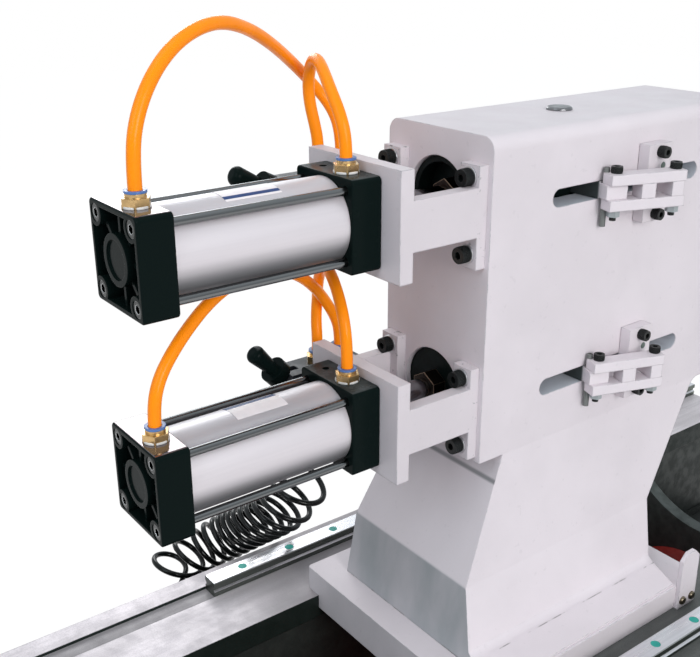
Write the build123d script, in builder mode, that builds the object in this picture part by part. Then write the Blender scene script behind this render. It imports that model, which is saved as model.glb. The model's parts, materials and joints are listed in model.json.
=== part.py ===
# Tailstock end of an automatic wood lathe: bed section, guide rails and a twin air-driven tailstock.
# Millimetres, +X towards the headstock, +Y away from the operator, +Z up.
# The origin lies on the underside of the bed, midway along it and midway between the ways.
import math
import os

from build123d import *

os.makedirs("parts", exist_ok=True)

# Fits
running_clearance = 0.05
sliding_gap = 0.3
screw_clearance = 0.4

# Bed
bed_length = 1150
bed_height = 190
way_inner = 100
way_outer = 207
way_slab = 27
ledge_rise = 2
beam_inner = 118
beam_outer = 203
beam_wall = 14
beam_top_web = 18
beam_pockets = 4
sole_width = 13
sole_height = 12
foot_length = 64
foot_width = 46
foot_height = 24
foot_hole = 18
foot_hole_out = 26
foot_end_margin = 75
rib_thickness = 18
rib_bottom = 40
rib_dip_height = 115
rib_dip_radius = 140
rib_arch_height = 76
rib_arch_radius = 110
rib_places = (-500, -290, 375)
tray_sheet = 3
tray_lip = 14
bulkhead_x = -330
bulkhead_height = 140
bulkhead_thread = 12
bulkhead_flats = 16
elbow_reach = 24
elbow_nose = 14
elbow_nose_length = 12

# Guide rails
rail_width = 20
rail_height = 17.5
rail_seat_depth = 1.5
rail_spacing = 346
rail_start = -251
front_rail_shift = 8
rail_first_hole = 40
rail_hole_pitch = 60
rail_counterbore = 9.5
rail_counterbore_depth = 8.5
rail_hole = 6
rail_groove_depth = 2.2
rail_groove_height = 5.5
rail_groove_above_seat = 6.5
rail_edge = 0.8
groove_slope = 1.5
rail_screw_head = 8.5
rail_screw_head_height = 5
rail_screw = 5
rail_screw_grip = 13
rail_cap_thickness = 2.6

# Tailstock body
head_back = -102
head_length = 338
head_width = 130
axis_spacing = 175
lower_axis_above_way = 261.5
head_above_upper_axis = 60
head_below_lower_axis = 53
head_top_round = 12
neck_back_inset = 29
neck_length = 281
knee_height = 97
knee_back_reach = 25
knee_length = 257
knee_width = 162
pedestal_back_reach = 33
pedestal_length = 258
pedestal_front = 98
pedestal_rear = 87
pedestal_wall = 16
neck_round = 18
base_back_reach = 61
base_length = 317.5
base_front = 137
base_rear = 119
base_thickness = 26
base_keel_depth = 15
skirt_height = 8.5
skirt_curve_start = 6
skirt_curve_height = 16
skirt_curve_bite = 1
skirt_curve_across = 0.62
skirt_curve_rise = 0.33
skirt_edge_inset = 2.5
skirt_edge_height = 2.5
skirt_end_cut = 9
base_corner = 4
keel_inset = 10
plug_diameter = 18
plug_place = 145
plug_lip = 3
plug_rise = 3
plug_depth = 8

# Quills, bushes and live centres
quill_diameter = 70
quill_length = 379
quill_recess = 4
bush_wall = 5
bore_mouth = 72
rear_bush_start = 30
rear_bush_length = 40
front_bush_length = 56
slot_start = 72
slot_length = 199
slot_height = 16
key_width = 16
key_pocket_depth = 6
bearing_outer = 47
bearing_inner = 25
bearing_width = 12
bearing_front_inset = 10
bearing_rear_inset = 62
centre_bore_depth = 86
centre_gap = 4
centre_flange = 58
centre_flange_width = 12
centre_neck = 40
centre_cup = 34
centre_cup_length = 18
centre_point_length = 22
centre_point_root = 20
cup_wall = 3
cup_depth = 7

# Air cylinders
cap_side = 75
cap_length = 28
barrel_length = 147
barrel_diameter = 69.5
cylinder_bore = 63
tie_rod_spacing = 56
tie_rod_diameter = 7
tie_nut_diameter = 13
tie_nut_length = 14
tie_nut_recess = 0.5
tie_nut_socket = 6
cap_rim = 4
cap_pocket_depth = 13
cap_boss = 38
cap_boss_recess = 1.5
cap_dish = 29
cap_rib_drop = 5
cap_corner_boss = 19
cap_rib_width = 3.5
cap_edge_round = 4
rod_diameter = 20
rod_thread = 16
piston_length = 30
piston_rear_gap = 48.5
piston_groove_width = 5
piston_groove_depth = 2.5
rod_nut_flats = 27
rod_nut_length = 14
nut_well = 60
nut_well_depths = {"upper": 17, "lower": 0}
rod_thread_engaged = 30
needle_hole = 6
needle_offset = 20
passage = 6
passage_drop = 3
port_offset = 10.5
cap_rim_round = 1.5

# Cylinder brackets
bracket_plate = 13
bracket_half_width = 60
bracket_half_height = 45
bracket_arm = 67
bracket_arm_thickness = 12
bracket_arm_height = 41
bracket_flange = 10
bracket_flange_width = 22
bracket_flange_low = -48
bracket_flange_high = 38
bracket_screw_low = -36
bracket_screw_high = 28
bracket_screw_y = 49
rod_hole = 24

# Socket screws
screw_diameter = 8
screw_head = 14
screw_head_height = 10
screw_socket = 6
screw_socket_depth = 4.5
bracket_screw_depth = 22

# Yokes that stop the quills from turning
yoke_length = 74.5
yoke_depth = 15
yoke_bar = 9.5
yoke_yaw = 19
yoke_end = 9.5
yoke_bolt_pitch = 59.5
yoke_forward = 2
yoke_bolt_ahead = 137
yoke_bolt_out = 12
nut_flats = 10
nut_height = 6.5
bolt_tail = 3.5
lug_length = 20.5
lug_height = 13
lug_recess = 4.5
key_stop = 1.5
spacer_length = 12
spacer_place = 57.5
spacer_reach = 24
middle_spacer_place = 28
middle_spacer_length = 14
lug_shift = 0.9
yoke_screw = 6
yoke_head = 10
yoke_head_height = 6
yoke_socket = 5
yoke_socket_depth = 3
dowel = 5.5
dowel_back = 3.5
dowel_inward = 8
dowel_low = -32.5
dowel_high = 20
guide_bar_ahead = 180.5
guide_bar_gap = 0.5
guide_bar_width = 31.5
guide_bar_thickness = 11
guide_bar_top = 34.5
guide_bar_bottom = -36
guide_screw_inset = 7
guide_hole = 6.5
guide_hole_drop = 13.5
guide_hole_shift = 6
guide_head = 10.5
guide_head_height = 8

# Hand valves
valve_length = 63.5
valve_width = 30
valve_top = 18
valve_bottom = -24
valve_start = 8
valve_ports = {"upper": (20, 44), "lower": (15.5, 40.5)}
valve_head_length = 14
valve_head_top = 18
valve_slot_width = 8
valve_slot_floor = -5
lever_pin = 5
lever_pin_height = 3
lever_tilts = {"upper": 26, "lower": 47}
lever_tongue = 10
lever_tongue_length = 17
lever_collar = 25
lever_collar_length = 10
knob_length = 30
knob_small = 12
knob_large = 18

# Push-in fittings and hoses
port_thread = 14
port_depth = 13
fitting_flats = 18.5
fitting_height = 7
fitting_collar = 15
fitting_collar_height = 3
ring_diameter = 16
ring_height = 1.8
hose_diameter = 10
spiral_diameter = 6
fitting_thread = 10
ring_bore_gap = 0.2
coil_radius = 28
coil_turns = 14.5
coil_phase = 90
coil_end_radius = 24

# Clamping under the base
clamp_plate_length = 60
clamp_plate_thickness = 20
clamp_plate_half_width = 113
clamp_plate_inset = 70
clamp_bolt = 16
clamp_bolt_spacing = 90
clamp_head_flats = 24
clamp_head_height = 10
clamp_bolt_depth = 18

# Stop bracket on the base
stop_width = 27
stop_thickness = 4.5
stop_height = 64
stop_end_inset = 11
stop_chamfer = 8
stop_screw_spacing = 15
stop_screw_height = 9
stop_screw = 5
stop_screw_head = 9
stop_screw_head_height = 3
stop_screw_depth = 12

# Places worked out from the sizes above
way_top = bed_height
slab_bottom = way_top - way_slab
rail_seat = way_top - rail_seat_depth
rail_shoulder = rail_spacing / 2 + rail_width / 2
lower_axis = way_top + lower_axis_above_way
upper_axis = lower_axis + axis_spacing
quill_axes = {"upper": upper_axis, "lower": lower_axis}
bed_end = bed_length / 2
head_front = head_back + head_length
head_side = head_width / 2
head_top = upper_axis + head_above_upper_axis
head_bottom = lower_axis - head_below_lower_axis
base_top = way_top + base_thickness
base_back = head_back - base_back_reach
base_end = base_back + base_length
knee_level = way_top + knee_height
neck_back = head_back + neck_back_inset
knee_back = head_back - knee_back_reach
pedestal_back = head_back - pedestal_back_reach
flange_back = head_back - bracket_flange
plate_front = flange_back - bracket_arm
cylinder_front = plate_front - bracket_plate
barrel_front = cylinder_front - cap_length
barrel_back = barrel_front - barrel_length
cylinder_back = barrel_back - cap_length
bush_diameter = quill_diameter + 2 * bush_wall
quill_back = head_back + quill_recess
quill_front = quill_back + quill_length
piston_back = barrel_back + piston_rear_gap
tie_offset = tie_rod_spacing / 2
rear_port_x = cylinder_back + cap_length / 2
front_port_x = cylinder_front - cap_length / 2
valve_back = cylinder_front - valve_start
valve_inside = bracket_half_width
valve_middle = valve_inside + valve_width / 2
valve_port_x = {
    name: [cylinder_front + place for place in places] for name, places in valve_ports.items()
}
inlet_x = {name: sum(places) / len(places) for name, places in valve_port_x.items()}
key_height = slot_height - 2 * sliding_gap
yoke_bolt_x = head_back + yoke_bolt_ahead
yoke_bolt_y = -head_side - yoke_bolt_out
dowel_x = yoke_bolt_x - dowel_back
dowel_y = yoke_bolt_y + dowel_inward
dowel_hole = dowel + 2 * running_clearance
guide_bar_front = -head_side - guide_bar_gap - guide_bar_thickness
guide_bar_back_x = head_back + guide_bar_ahead
guide_bar_middle = guide_bar_back_x + guide_bar_width / 2
clamp_plate_top = slab_bottom - sliding_gap
clamp_plate_bottom = clamp_plate_top - clamp_plate_thickness


def save(part, name):
    part.label = name
    export_step(part, f"parts/{name}.step")


def block(x0, x1, y0, y1, z0, z1, mode=Mode.ADD):
    with Locations(((x0 + x1) / 2, (y0 + y1) / 2, (z0 + z1) / 2)):
        Box(abs(x1 - x0), abs(y1 - y0), abs(z1 - z0), mode=mode)


def rod_x(diameter, x0, x1, y, z, mode=Mode.ADD):
    with Locations(((x0 + x1) / 2, y, z)):
        Cylinder(diameter / 2, abs(x1 - x0), rotation=(0, 90, 0), mode=mode)


def rod_y(diameter, y0, y1, x, z, mode=Mode.ADD):
    with Locations((x, (y0 + y1) / 2, z)):
        Cylinder(diameter / 2, abs(y1 - y0), rotation=(90, 0, 0), mode=mode)


def rod_z(diameter, z0, z1, x, y, mode=Mode.ADD):
    with Locations((x, y, (z0 + z1) / 2)):
        Cylinder(diameter / 2, abs(z1 - z0), mode=mode)


def hex_circle(flats):
    return flats / math.sqrt(3)


def rail_holes(start):
    count = int((bed_end - start - rail_first_hole - rail_width) / rail_hole_pitch) + 1
    return [start + rail_first_hole + index * rail_hole_pitch for index in range(count)]


# Bed: two cast way beams, cored from below, with foot lugs
rails = {"rear": (1, rail_start), "front": (-1, rail_start + front_rail_shift)}
pocket_length = (bed_length - (beam_pockets + 1) * beam_wall) / beam_pockets
for name, (side, start) in rails.items():
    with BuildPart() as way_beam:
        with BuildSketch(Plane.YZ.offset(-bed_end)):
            with BuildLine():
                Polyline(
                    (side * (beam_inner - sole_width), 0),
                    (side * beam_outer, 0),
                    (side * beam_outer, slab_bottom),
                    (side * way_outer, slab_bottom),
                    (side * way_outer, way_top + ledge_rise),
                    (side * rail_shoulder, way_top + ledge_rise),
                    (side * rail_shoulder, rail_seat),
                    (side * (rail_shoulder - rail_width), rail_seat),
                    (side * (rail_shoulder - rail_width), way_top),
                    (side * way_inner, way_top),
                    (side * way_inner, slab_bottom),
                    (side * beam_inner, slab_bottom),
                    (side * beam_inner, sole_height),
                    (side * (beam_inner - sole_width), sole_height),
                    close=True,
                )
            make_face()
        extrude(amount=bed_length)
        for index in range(beam_pockets):
            pocket_start = -bed_end + beam_wall + index * (pocket_length + beam_wall)
            block(pocket_start, pocket_start + pocket_length, side * (beam_inner + beam_wall),
                  side * (beam_outer - beam_wall), 0, slab_bottom - beam_top_web, Mode.SUBTRACT)
        for end in (-1, 1):
            foot_x = end * (bed_end - foot_end_margin)
            foot_y = side * (beam_outer + foot_hole_out)
            block(foot_x - foot_length / 2, foot_x + foot_length / 2, side * beam_outer,
                  side * (beam_outer + foot_width), 0, foot_height)
            rod_z(foot_hole, 0, foot_height, foot_x, foot_y, Mode.SUBTRACT)
        for hole_x in rail_holes(start):
            rod_z(rail_screw, rail_seat - rail_screw_grip, rail_seat, hole_x,
                  side * rail_spacing / 2, Mode.SUBTRACT)
        if name == "rear":
            rod_y(bulkhead_thread, beam_outer - beam_wall, beam_outer, bulkhead_x, bulkhead_height,
                  Mode.SUBTRACT)
    save(way_beam.part, f"{name}_way_beam")

# Cross ribs with a dipped top edge and an arched underside, and the chip tray on the soles below them
with BuildPart() as cross_ribs:
    for rib_x in rib_places:
        with BuildSketch(Plane.YZ.offset(rib_x - rib_thickness / 2)):
            with Locations((0, (rib_bottom + slab_bottom) / 2)):
                Rectangle(2 * beam_inner, slab_bottom - rib_bottom)
            with Locations((0, rib_dip_height + rib_dip_radius)):
                Circle(rib_dip_radius, mode=Mode.SUBTRACT)
            with Locations((0, rib_arch_height - rib_arch_radius)):
                Circle(rib_arch_radius, mode=Mode.SUBTRACT)
        extrude(amount=rib_thickness)
save(cross_ribs.part, "cross_ribs")

with BuildPart() as chip_tray:
    tray_side = beam_inner - sliding_gap
    block(-bed_end, bed_end, -tray_side, tray_side, sole_height, sole_height + tray_sheet)
    for side in (-1, 1):
        block(-bed_end, bed_end, side * (tray_side - tray_sheet), side * tray_side,
              sole_height, sole_height + tray_lip)
save(chip_tray.part, "chip_tray")

# Guide rails with counterbored screws under push-in caps
rail_top = rail_seat + rail_height
for name, (side, start) in rails.items():
    with BuildPart() as guide_rail:
        with BuildSketch(Plane.YZ.offset(start)):
            with BuildLine():
                half = rail_width / 2
                middle = side * rail_spacing / 2
                groove_low = rail_seat + rail_groove_above_seat
                groove_high = groove_low + rail_groove_height
                flank = [
                    (half, rail_seat),
                    (half, groove_low),
                    (half - rail_groove_depth, groove_low + groove_slope),
                    (half - rail_groove_depth, groove_high - groove_slope),
                    (half, groove_high),
                    (half, rail_top - rail_edge),
                    (half - rail_edge, rail_top),
                ]
                left = [(middle - y, z) for y, z in reversed(flank)]
                right = [(middle + y, z) for y, z in flank]
                Polyline(*right, *left, close=True)
            make_face()
        extrude(amount=bed_end - start)
        for hole_x in rail_holes(start):
            rod_z(rail_hole, rail_seat, rail_top, hole_x, middle, Mode.SUBTRACT)
            rod_z(rail_counterbore, rail_top - rail_counterbore_depth, rail_top, hole_x, middle,
                  Mode.SUBTRACT)
    save(guide_rail.part, f"{name}_guide_rail")

with BuildPart() as rail_screws:
    for side, start in rails.values():
        for hole_x in rail_holes(start):
            head_seat = rail_top - rail_counterbore_depth
            rod_z(rail_screw, rail_seat - rail_screw_grip, head_seat, hole_x, side * rail_spacing / 2)
            rod_z(rail_screw_head, head_seat, head_seat + rail_screw_head_height, hole_x,
                  side * rail_spacing / 2)
save(rail_screws.part, "rail_screws")

with BuildPart() as rail_hole_caps:
    for side, start in rails.values():
        for hole_x in rail_holes(start):
            rod_z(rail_counterbore - 2 * running_clearance, rail_top - rail_cap_thickness, rail_top,
                  hole_x, side * rail_spacing / 2)
save(rail_hole_caps.part, "rail_hole_caps")

# Air supply elbow screwed into the rear wall of the bed
elbow_half = bulkhead_flats / 2
elbow_y = beam_outer + elbow_reach - elbow_half
elbow_face = bulkhead_x + elbow_half + elbow_nose_length
with BuildPart() as supply_bulkhead:
    rod_y(bulkhead_thread, beam_outer - beam_wall, beam_outer, bulkhead_x, bulkhead_height)
    block(bulkhead_x - elbow_half, bulkhead_x + elbow_half, beam_outer, beam_outer + elbow_reach,
          bulkhead_height - elbow_half, bulkhead_height + elbow_half)
    rod_x(elbow_nose, bulkhead_x + elbow_half, elbow_face, elbow_y, bulkhead_height)
save(supply_bulkhead.part, "supply_bulkhead")

# Tailstock body: head, flared pedestal, cored inside, with quill bores and yoke slots
with BuildPart() as tailstock_body:
    block(head_back, head_front, -head_side, head_side, head_bottom, head_top)
    top_edges = tailstock_body.edges().filter_by(Axis.X).group_by(Axis.Z)[-1]
    fillet(top_edges, head_top_round)
    sections = (
        (base_top, pedestal_back, pedestal_length, pedestal_front, pedestal_rear),
        (knee_level, knee_back, knee_length, knee_width / 2, knee_width / 2),
        (head_bottom, neck_back, neck_length, head_side, head_side),
    )
    for level, back, length, front, rear in sections:
        with BuildSketch(Plane.XY.offset(level)):
            with Locations((back + length / 2, (rear - front) / 2)):
                Rectangle(length, front + rear)
    loft(ruled=True)
    neck_end = neck_back + neck_length
    corner = tailstock_body.edges().filter_by(Axis.Y).sort_by_distance((neck_end, 0, head_bottom))[0]
    fillet(corner, neck_round)
    skirt_inside = pedestal_front - pedestal_wall / 2
    skirt_outside = base_front - skirt_edge_inset
    front_lean = (pedestal_front - knee_width / 2) / (knee_level - base_top)
    foot_y = -pedestal_front - skirt_curve_start
    foot_z = base_top + skirt_height
    curve_end_y = -pedestal_front + front_lean * skirt_curve_height + skirt_curve_bite
    curve_end_z = base_top + skirt_curve_height
    with BuildSketch(Plane.YZ.offset(pedestal_back)):
        with BuildLine():
            curve_foot = (foot_y, foot_z)
            curve_middle = (
                foot_y + skirt_curve_across * (curve_end_y - foot_y),
                foot_z + skirt_curve_rise * (curve_end_z - foot_z),
            )
            curve_top = (curve_end_y, curve_end_z)
            ThreePointArc(curve_foot, curve_middle, curve_top)
            Polyline(
                curve_top,
                (-skirt_inside, curve_end_z),
                (-skirt_inside, base_top),
                (-skirt_outside, base_top),
                (-skirt_outside, base_top + skirt_edge_height),
                curve_foot,
            )
        make_face()
    pedestal_end = pedestal_back + pedestal_length
    extrude(amount=pedestal_end - pedestal_back)
    end_lean = (knee_back - pedestal_back) * skirt_curve_height / (knee_level - base_top)
    with BuildSketch(Plane(origin=(0, -skirt_inside, 0), x_dir=(1, 0, 0), z_dir=(0, -1, 0))):
        with BuildLine():
            Polyline(
                (pedestal_back, base_top),
                (pedestal_back + end_lean, base_top + skirt_curve_height),
                (pedestal_back, base_top + skirt_curve_height),
                close=True,
            )
        make_face()
    extrude(amount=skirt_outside - skirt_inside, mode=Mode.SUBTRACT)
    with BuildSketch(Plane.XY.offset(base_top)):
        with BuildLine():
            Polyline(
                (pedestal_end, -pedestal_front),
                (pedestal_end, -skirt_outside),
                (pedestal_end - skirt_end_cut, -skirt_outside),
                close=True,
            )
        make_face()
    extrude(amount=skirt_curve_height, mode=Mode.SUBTRACT)
    core_sections = (
        (base_top, pedestal_back, pedestal_length, pedestal_front, pedestal_rear),
        (knee_level, knee_back, knee_length, knee_width / 2, knee_width / 2),
        (head_bottom - pedestal_wall, neck_back, neck_length, head_side, head_side),
    )
    for level, back, length, front, rear in core_sections:
        with BuildSketch(Plane.XY.offset(level)):
            with Locations((back + length / 2, (rear - front) / 2)):
                Rectangle(length - 2 * pedestal_wall, front + rear - 2 * pedestal_wall)
    loft(ruled=True, mode=Mode.SUBTRACT)
    for axis in quill_axes.values():
        rod_x(bore_mouth, head_back, head_back + rear_bush_start, 0, axis, Mode.SUBTRACT)
        rod_x(bush_diameter, head_back + rear_bush_start, head_front, 0, axis, Mode.SUBTRACT)
        with BuildSketch(Plane.XZ.offset(head_side)):
            with Locations((head_back + slot_start + slot_length / 2, axis)):
                SlotOverall(slot_length, slot_height)
        extrude(amount=-head_side, mode=Mode.SUBTRACT)
        for side in (-1, 1):
            for height in (bracket_screw_low, bracket_screw_high):
                rod_x(screw_diameter, head_back, head_back + bracket_screw_depth,
                      side * bracket_screw_y, axis + height, Mode.SUBTRACT)
    rod_z(plug_diameter, head_top - plug_depth, head_top, head_back + plug_place, 0, Mode.SUBTRACT)
save(tailstock_body.part, "tailstock_body")

with BuildPart() as body_plug:
    rod_z(plug_diameter, head_top - plug_depth, head_top, head_back + plug_place, 0)
    rod_z(plug_diameter + 2 * plug_lip, head_top, head_top + plug_rise, head_back + plug_place, 0)
    rim = body_plug.edges().group_by(Axis.Z)[-1]
    fillet(rim, plug_rise * 0.8)
save(body_plug.part, "body_plug")

with BuildPart() as quill_bushes:
    for axis in quill_axes.values():
        rear_start = head_back + rear_bush_start
        front_start = head_front - front_bush_length
        for bush_start, bush_length in ((rear_start, rear_bush_length), (front_start, front_bush_length)):
            rod_x(bush_diameter, bush_start, bush_start + bush_length, 0, axis)
        rod_x(quill_diameter + 2 * running_clearance, rear_start, head_front, 0, axis, Mode.SUBTRACT)
save(quill_bushes.part, "quill_bushes")

# Base plate with a keel between the ways, and the clamp plates that pull up under the ways
clamp_places = [(place, side * clamp_bolt_spacing / 2)
                for place in (base_back + clamp_plate_inset, base_end - clamp_plate_inset)
                for side in (-1, 1)]
clamp_thread_top = way_top + clamp_bolt_depth
stop_middle = base_end - stop_end_inset - stop_width / 2
stop_screw_places = [(stop_middle + side * stop_screw_spacing / 2) for side in (-1, 1)]
with BuildPart() as base_plate:
    block(base_back, base_end, -base_front, base_rear, way_top, base_top)
    fillet(base_plate.edges().filter_by(Axis.Z), base_corner)
    keel_side = way_inner - sliding_gap
    block(base_back, base_end - keel_inset, -keel_side, keel_side,
          way_top - base_keel_depth, way_top)
    for bolt_x, bolt_y in clamp_places:
        rod_z(clamp_bolt, way_top - base_keel_depth, clamp_thread_top, bolt_x, bolt_y, Mode.SUBTRACT)
    for screw_x in stop_screw_places:
        rod_y(stop_screw, -base_front, -base_front + stop_screw_depth, screw_x,
              way_top + stop_screw_height, Mode.SUBTRACT)
save(base_plate.part, "base_plate")

with BuildPart() as clamp_plates:
    for place in (base_back + clamp_plate_inset, base_end - clamp_plate_inset):
        block(place - clamp_plate_length / 2, place + clamp_plate_length / 2,
              -clamp_plate_half_width, clamp_plate_half_width, clamp_plate_bottom, clamp_plate_top)
    for bolt_x, bolt_y in clamp_places:
        rod_z(clamp_bolt + screw_clearance, clamp_plate_bottom, clamp_plate_top, bolt_x, bolt_y,
              Mode.SUBTRACT)
save(clamp_plates.part, "clamp_plates")

with BuildPart() as clamp_bolts:
    for bolt_x, bolt_y in clamp_places:
        rod_z(clamp_bolt, clamp_plate_bottom, clamp_thread_top, bolt_x, bolt_y)
        with BuildSketch(Plane(origin=(bolt_x, bolt_y, clamp_plate_bottom - clamp_head_height))):
            RegularPolygon(hex_circle(clamp_head_flats), 6)
        extrude(amount=clamp_head_height)
save(clamp_bolts.part, "clamp_bolts")

# Small stop bracket on the front edge of the base
with BuildPart() as stop_bracket:
    block(stop_middle - stop_width / 2, stop_middle + stop_width / 2, -base_front - stop_thickness,
          -base_front,
          way_top, way_top + stop_height)
    chamfer(stop_bracket.edges().filter_by(Axis.Y).group_by(Axis.Z)[-1], stop_chamfer)
    for screw_x in stop_screw_places:
        rod_y(stop_screw + screw_clearance, -base_front - stop_thickness, -base_front, screw_x,
              way_top + stop_screw_height, Mode.SUBTRACT)
save(stop_bracket.part, "stop_bracket")

with BuildPart() as stop_bracket_screws:
    stop_face = -base_front - stop_thickness
    for screw_x in stop_screw_places:
        rod_y(stop_screw, stop_face, -base_front + stop_screw_depth, screw_x, way_top + stop_screw_height)
        rod_y(stop_screw_head, stop_face - stop_screw_head_height, stop_face, screw_x,
              way_top + stop_screw_height)
    domes = stop_bracket_screws.edges().filter_by(GeomType.CIRCLE).group_by(Axis.Y)[0]
    fillet(domes, stop_screw_head_height * 0.8)
save(stop_bracket_screws.part, "stop_bracket_screws")

# Air cylinders on their welded brackets
cap_half = cap_side / 2
rib_reach = cap_side / 2
front_nut_back = cylinder_front - tie_nut_length
tie_rod_end = cylinder_front - tie_nut_length / 2
tie_corners = [(y, z) for y in (-tie_offset, tie_offset) for z in (-tie_offset, tie_offset)]
for name, axis in quill_axes.items():
    port_bottom = axis + cap_half - port_depth
    with BuildPart() as rear_cap:
        block(cylinder_back, barrel_back, -cap_half, cap_half, axis - cap_half, axis + cap_half)
        fillet(rear_cap.edges().filter_by(Axis.X), cap_edge_round)
        fillet(rear_cap.faces().filter_by(Axis.X).edges(), cap_rim_round)
        cap_face = Plane(origin=(cylinder_back, 0, axis), x_dir=(0, 1, 0), z_dir=(1, 0, 0))
        for depth, pocket, ribs in ((0, cap_rib_drop, 0), (cap_rib_drop, cap_pocket_depth, 8)):
            with BuildSketch(cap_face.offset(depth)):
                Rectangle(cap_side - 2 * cap_rim, cap_side - 2 * cap_rim)
                Circle(cap_boss / 2, mode=Mode.SUBTRACT)
                if ribs:
                    with PolarLocations(rib_reach / 2 + cap_boss / 4, ribs):
                        Rectangle(rib_reach, cap_rib_width, mode=Mode.SUBTRACT)
                with GridLocations(tie_rod_spacing, tie_rod_spacing, 2, 2):
                    Circle(cap_corner_boss / 2, mode=Mode.SUBTRACT)
            extrude(amount=pocket - depth, mode=Mode.SUBTRACT)
        rod_x(cap_dish, cylinder_back, cylinder_back + cap_boss_recess, 0, axis, Mode.SUBTRACT)
        for y, z in tie_corners:
            rod_x(tie_nut_diameter + 2 * running_clearance, cylinder_back,
                  cylinder_back + tie_nut_recess + tie_nut_length, y, axis + z, Mode.SUBTRACT)
            rod_x(tie_rod_diameter + screw_clearance, cylinder_back, barrel_back, y, axis + z, Mode.SUBTRACT)
        rod_z(port_thread, port_bottom, axis + cap_half, rear_port_x, -port_offset, Mode.SUBTRACT)
        rod_x(passage, rear_port_x, barrel_back, -port_offset, port_bottom + passage_drop, Mode.SUBTRACT)
    save(rear_cap.part, f"{name}_rear_cap")

    with BuildPart() as front_cap:
        block(barrel_front, cylinder_front, -cap_half, cap_half, axis - cap_half, axis + cap_half)
        fillet(front_cap.edges().filter_by(Axis.X), cap_edge_round)
        fillet(front_cap.faces().filter_by(Axis.X).edges(), cap_rim_round)
        rod_x(rod_diameter + 2 * running_clearance, barrel_front, cylinder_front, 0, axis, Mode.SUBTRACT)
        for y, z in tie_corners:
            rod_x(tie_nut_diameter + 2 * running_clearance, front_nut_back, cylinder_front, y, axis + z,
                  Mode.SUBTRACT)
            rod_x(tie_rod_diameter + screw_clearance, barrel_front, cylinder_front, y, axis + z,
                  Mode.SUBTRACT)
        rod_z(port_thread, port_bottom, axis + cap_half, front_port_x, -port_offset, Mode.SUBTRACT)
        rod_x(passage, barrel_front, front_port_x, -port_offset, port_bottom + passage_drop, Mode.SUBTRACT)
        rod_z(needle_hole, axis + cap_half - needle_hole, axis + cap_half, front_port_x, needle_offset,
              Mode.SUBTRACT)
    save(front_cap.part, f"{name}_front_cap")

    with BuildPart() as barrel:
        rod_x(barrel_diameter, barrel_back, barrel_front, 0, axis)
        rod_x(cylinder_bore, barrel_back, barrel_front, 0, axis, Mode.SUBTRACT)
    save(barrel.part, f"{name}_barrel")

    with BuildPart() as tie_rods:
        rear_nut_start = cylinder_back + tie_nut_recess
        nut_bore = tie_rod_diameter + 2 * running_clearance
        for y, z in tie_corners:
            for nut_start in (rear_nut_start, front_nut_back):
                rod_x(tie_nut_diameter, nut_start, nut_start + tie_nut_length, y, axis + z)
                rod_x(nut_bore, nut_start + tie_nut_socket, nut_start + tie_nut_length, y, axis + z,
                      Mode.SUBTRACT)
            rod_x(nut_bore, front_nut_back, cylinder_front, y, axis + z, Mode.SUBTRACT)
            rod_x(screw_diameter + 2 * running_clearance, tie_rod_end, cylinder_front, y, axis + z,
                  Mode.SUBTRACT)
            with BuildSketch(Plane(origin=(rear_nut_start, y, axis + z), z_dir=(1, 0, 0))):
                RegularPolygon(hex_circle(tie_nut_socket), 6)
            extrude(amount=tie_nut_socket, mode=Mode.SUBTRACT)
        for y, z in tie_corners:
            rod_x(tie_rod_diameter, rear_nut_start + tie_nut_socket + running_clearance, tie_rod_end,
                  y, axis + z)
    save(tie_rods.part, f"{name}_tie_rods")

    with BuildPart() as bracket:
        block(cylinder_front, plate_front, -bracket_half_width, bracket_half_width,
              axis - bracket_half_height, axis + bracket_half_height)
        for side in (-1, 1):
            block(plate_front, flange_back, side * (bracket_half_width - bracket_arm_thickness),
                  side * bracket_half_width, axis - bracket_arm_height / 2, axis + bracket_arm_height / 2)
            block(flange_back, head_back, side * (bracket_half_width - bracket_flange_width),
                  side * bracket_half_width, axis + bracket_flange_low, axis + bracket_flange_high)
            for height in (bracket_screw_low, bracket_screw_high):
                rod_x(screw_diameter + screw_clearance, flange_back, head_back, side * bracket_screw_y,
                      axis + height, Mode.SUBTRACT)
        rod_x(rod_hole, cylinder_front, plate_front, 0, axis, Mode.SUBTRACT)
        for y, z in tie_corners:
            rod_x(screw_diameter + screw_clearance, cylinder_front, plate_front, y, axis + z, Mode.SUBTRACT)
    save(bracket.part, f"{name}_cylinder_bracket")

# Socket screws: the bracket flanges to the head, and the bracket plates to the cylinders
with BuildPart() as tailstock_screws:
    for axis in quill_axes.values():
        for side in (-1, 1):
            for height in (bracket_screw_low, bracket_screw_high):
                y = side * bracket_screw_y
                rod_x(screw_diameter, flange_back, head_back + bracket_screw_depth, y, axis + height)
                rod_x(screw_head, flange_back - screw_head_height, flange_back, y, axis + height)
                head_top_at = (flange_back - screw_head_height, y, axis + height)
                with BuildSketch(Plane(origin=head_top_at, z_dir=(1, 0, 0))):
                    RegularPolygon(hex_circle(screw_socket), 6)
                extrude(amount=screw_socket_depth, mode=Mode.SUBTRACT)
        for y, z in tie_corners:
            rod_x(screw_diameter, tie_rod_end + running_clearance, plate_front, y, axis + z)
            rod_x(screw_head, plate_front, plate_front + screw_head_height, y, axis + z)
            head_top_at = (plate_front + screw_head_height, y, axis + z)
            with BuildSketch(Plane(origin=head_top_at, z_dir=(-1, 0, 0))):
                RegularPolygon(hex_circle(screw_socket), 6)
            extrude(amount=screw_socket_depth, mode=Mode.SUBTRACT)
save(tailstock_screws.part, "tailstock_screws")

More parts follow.
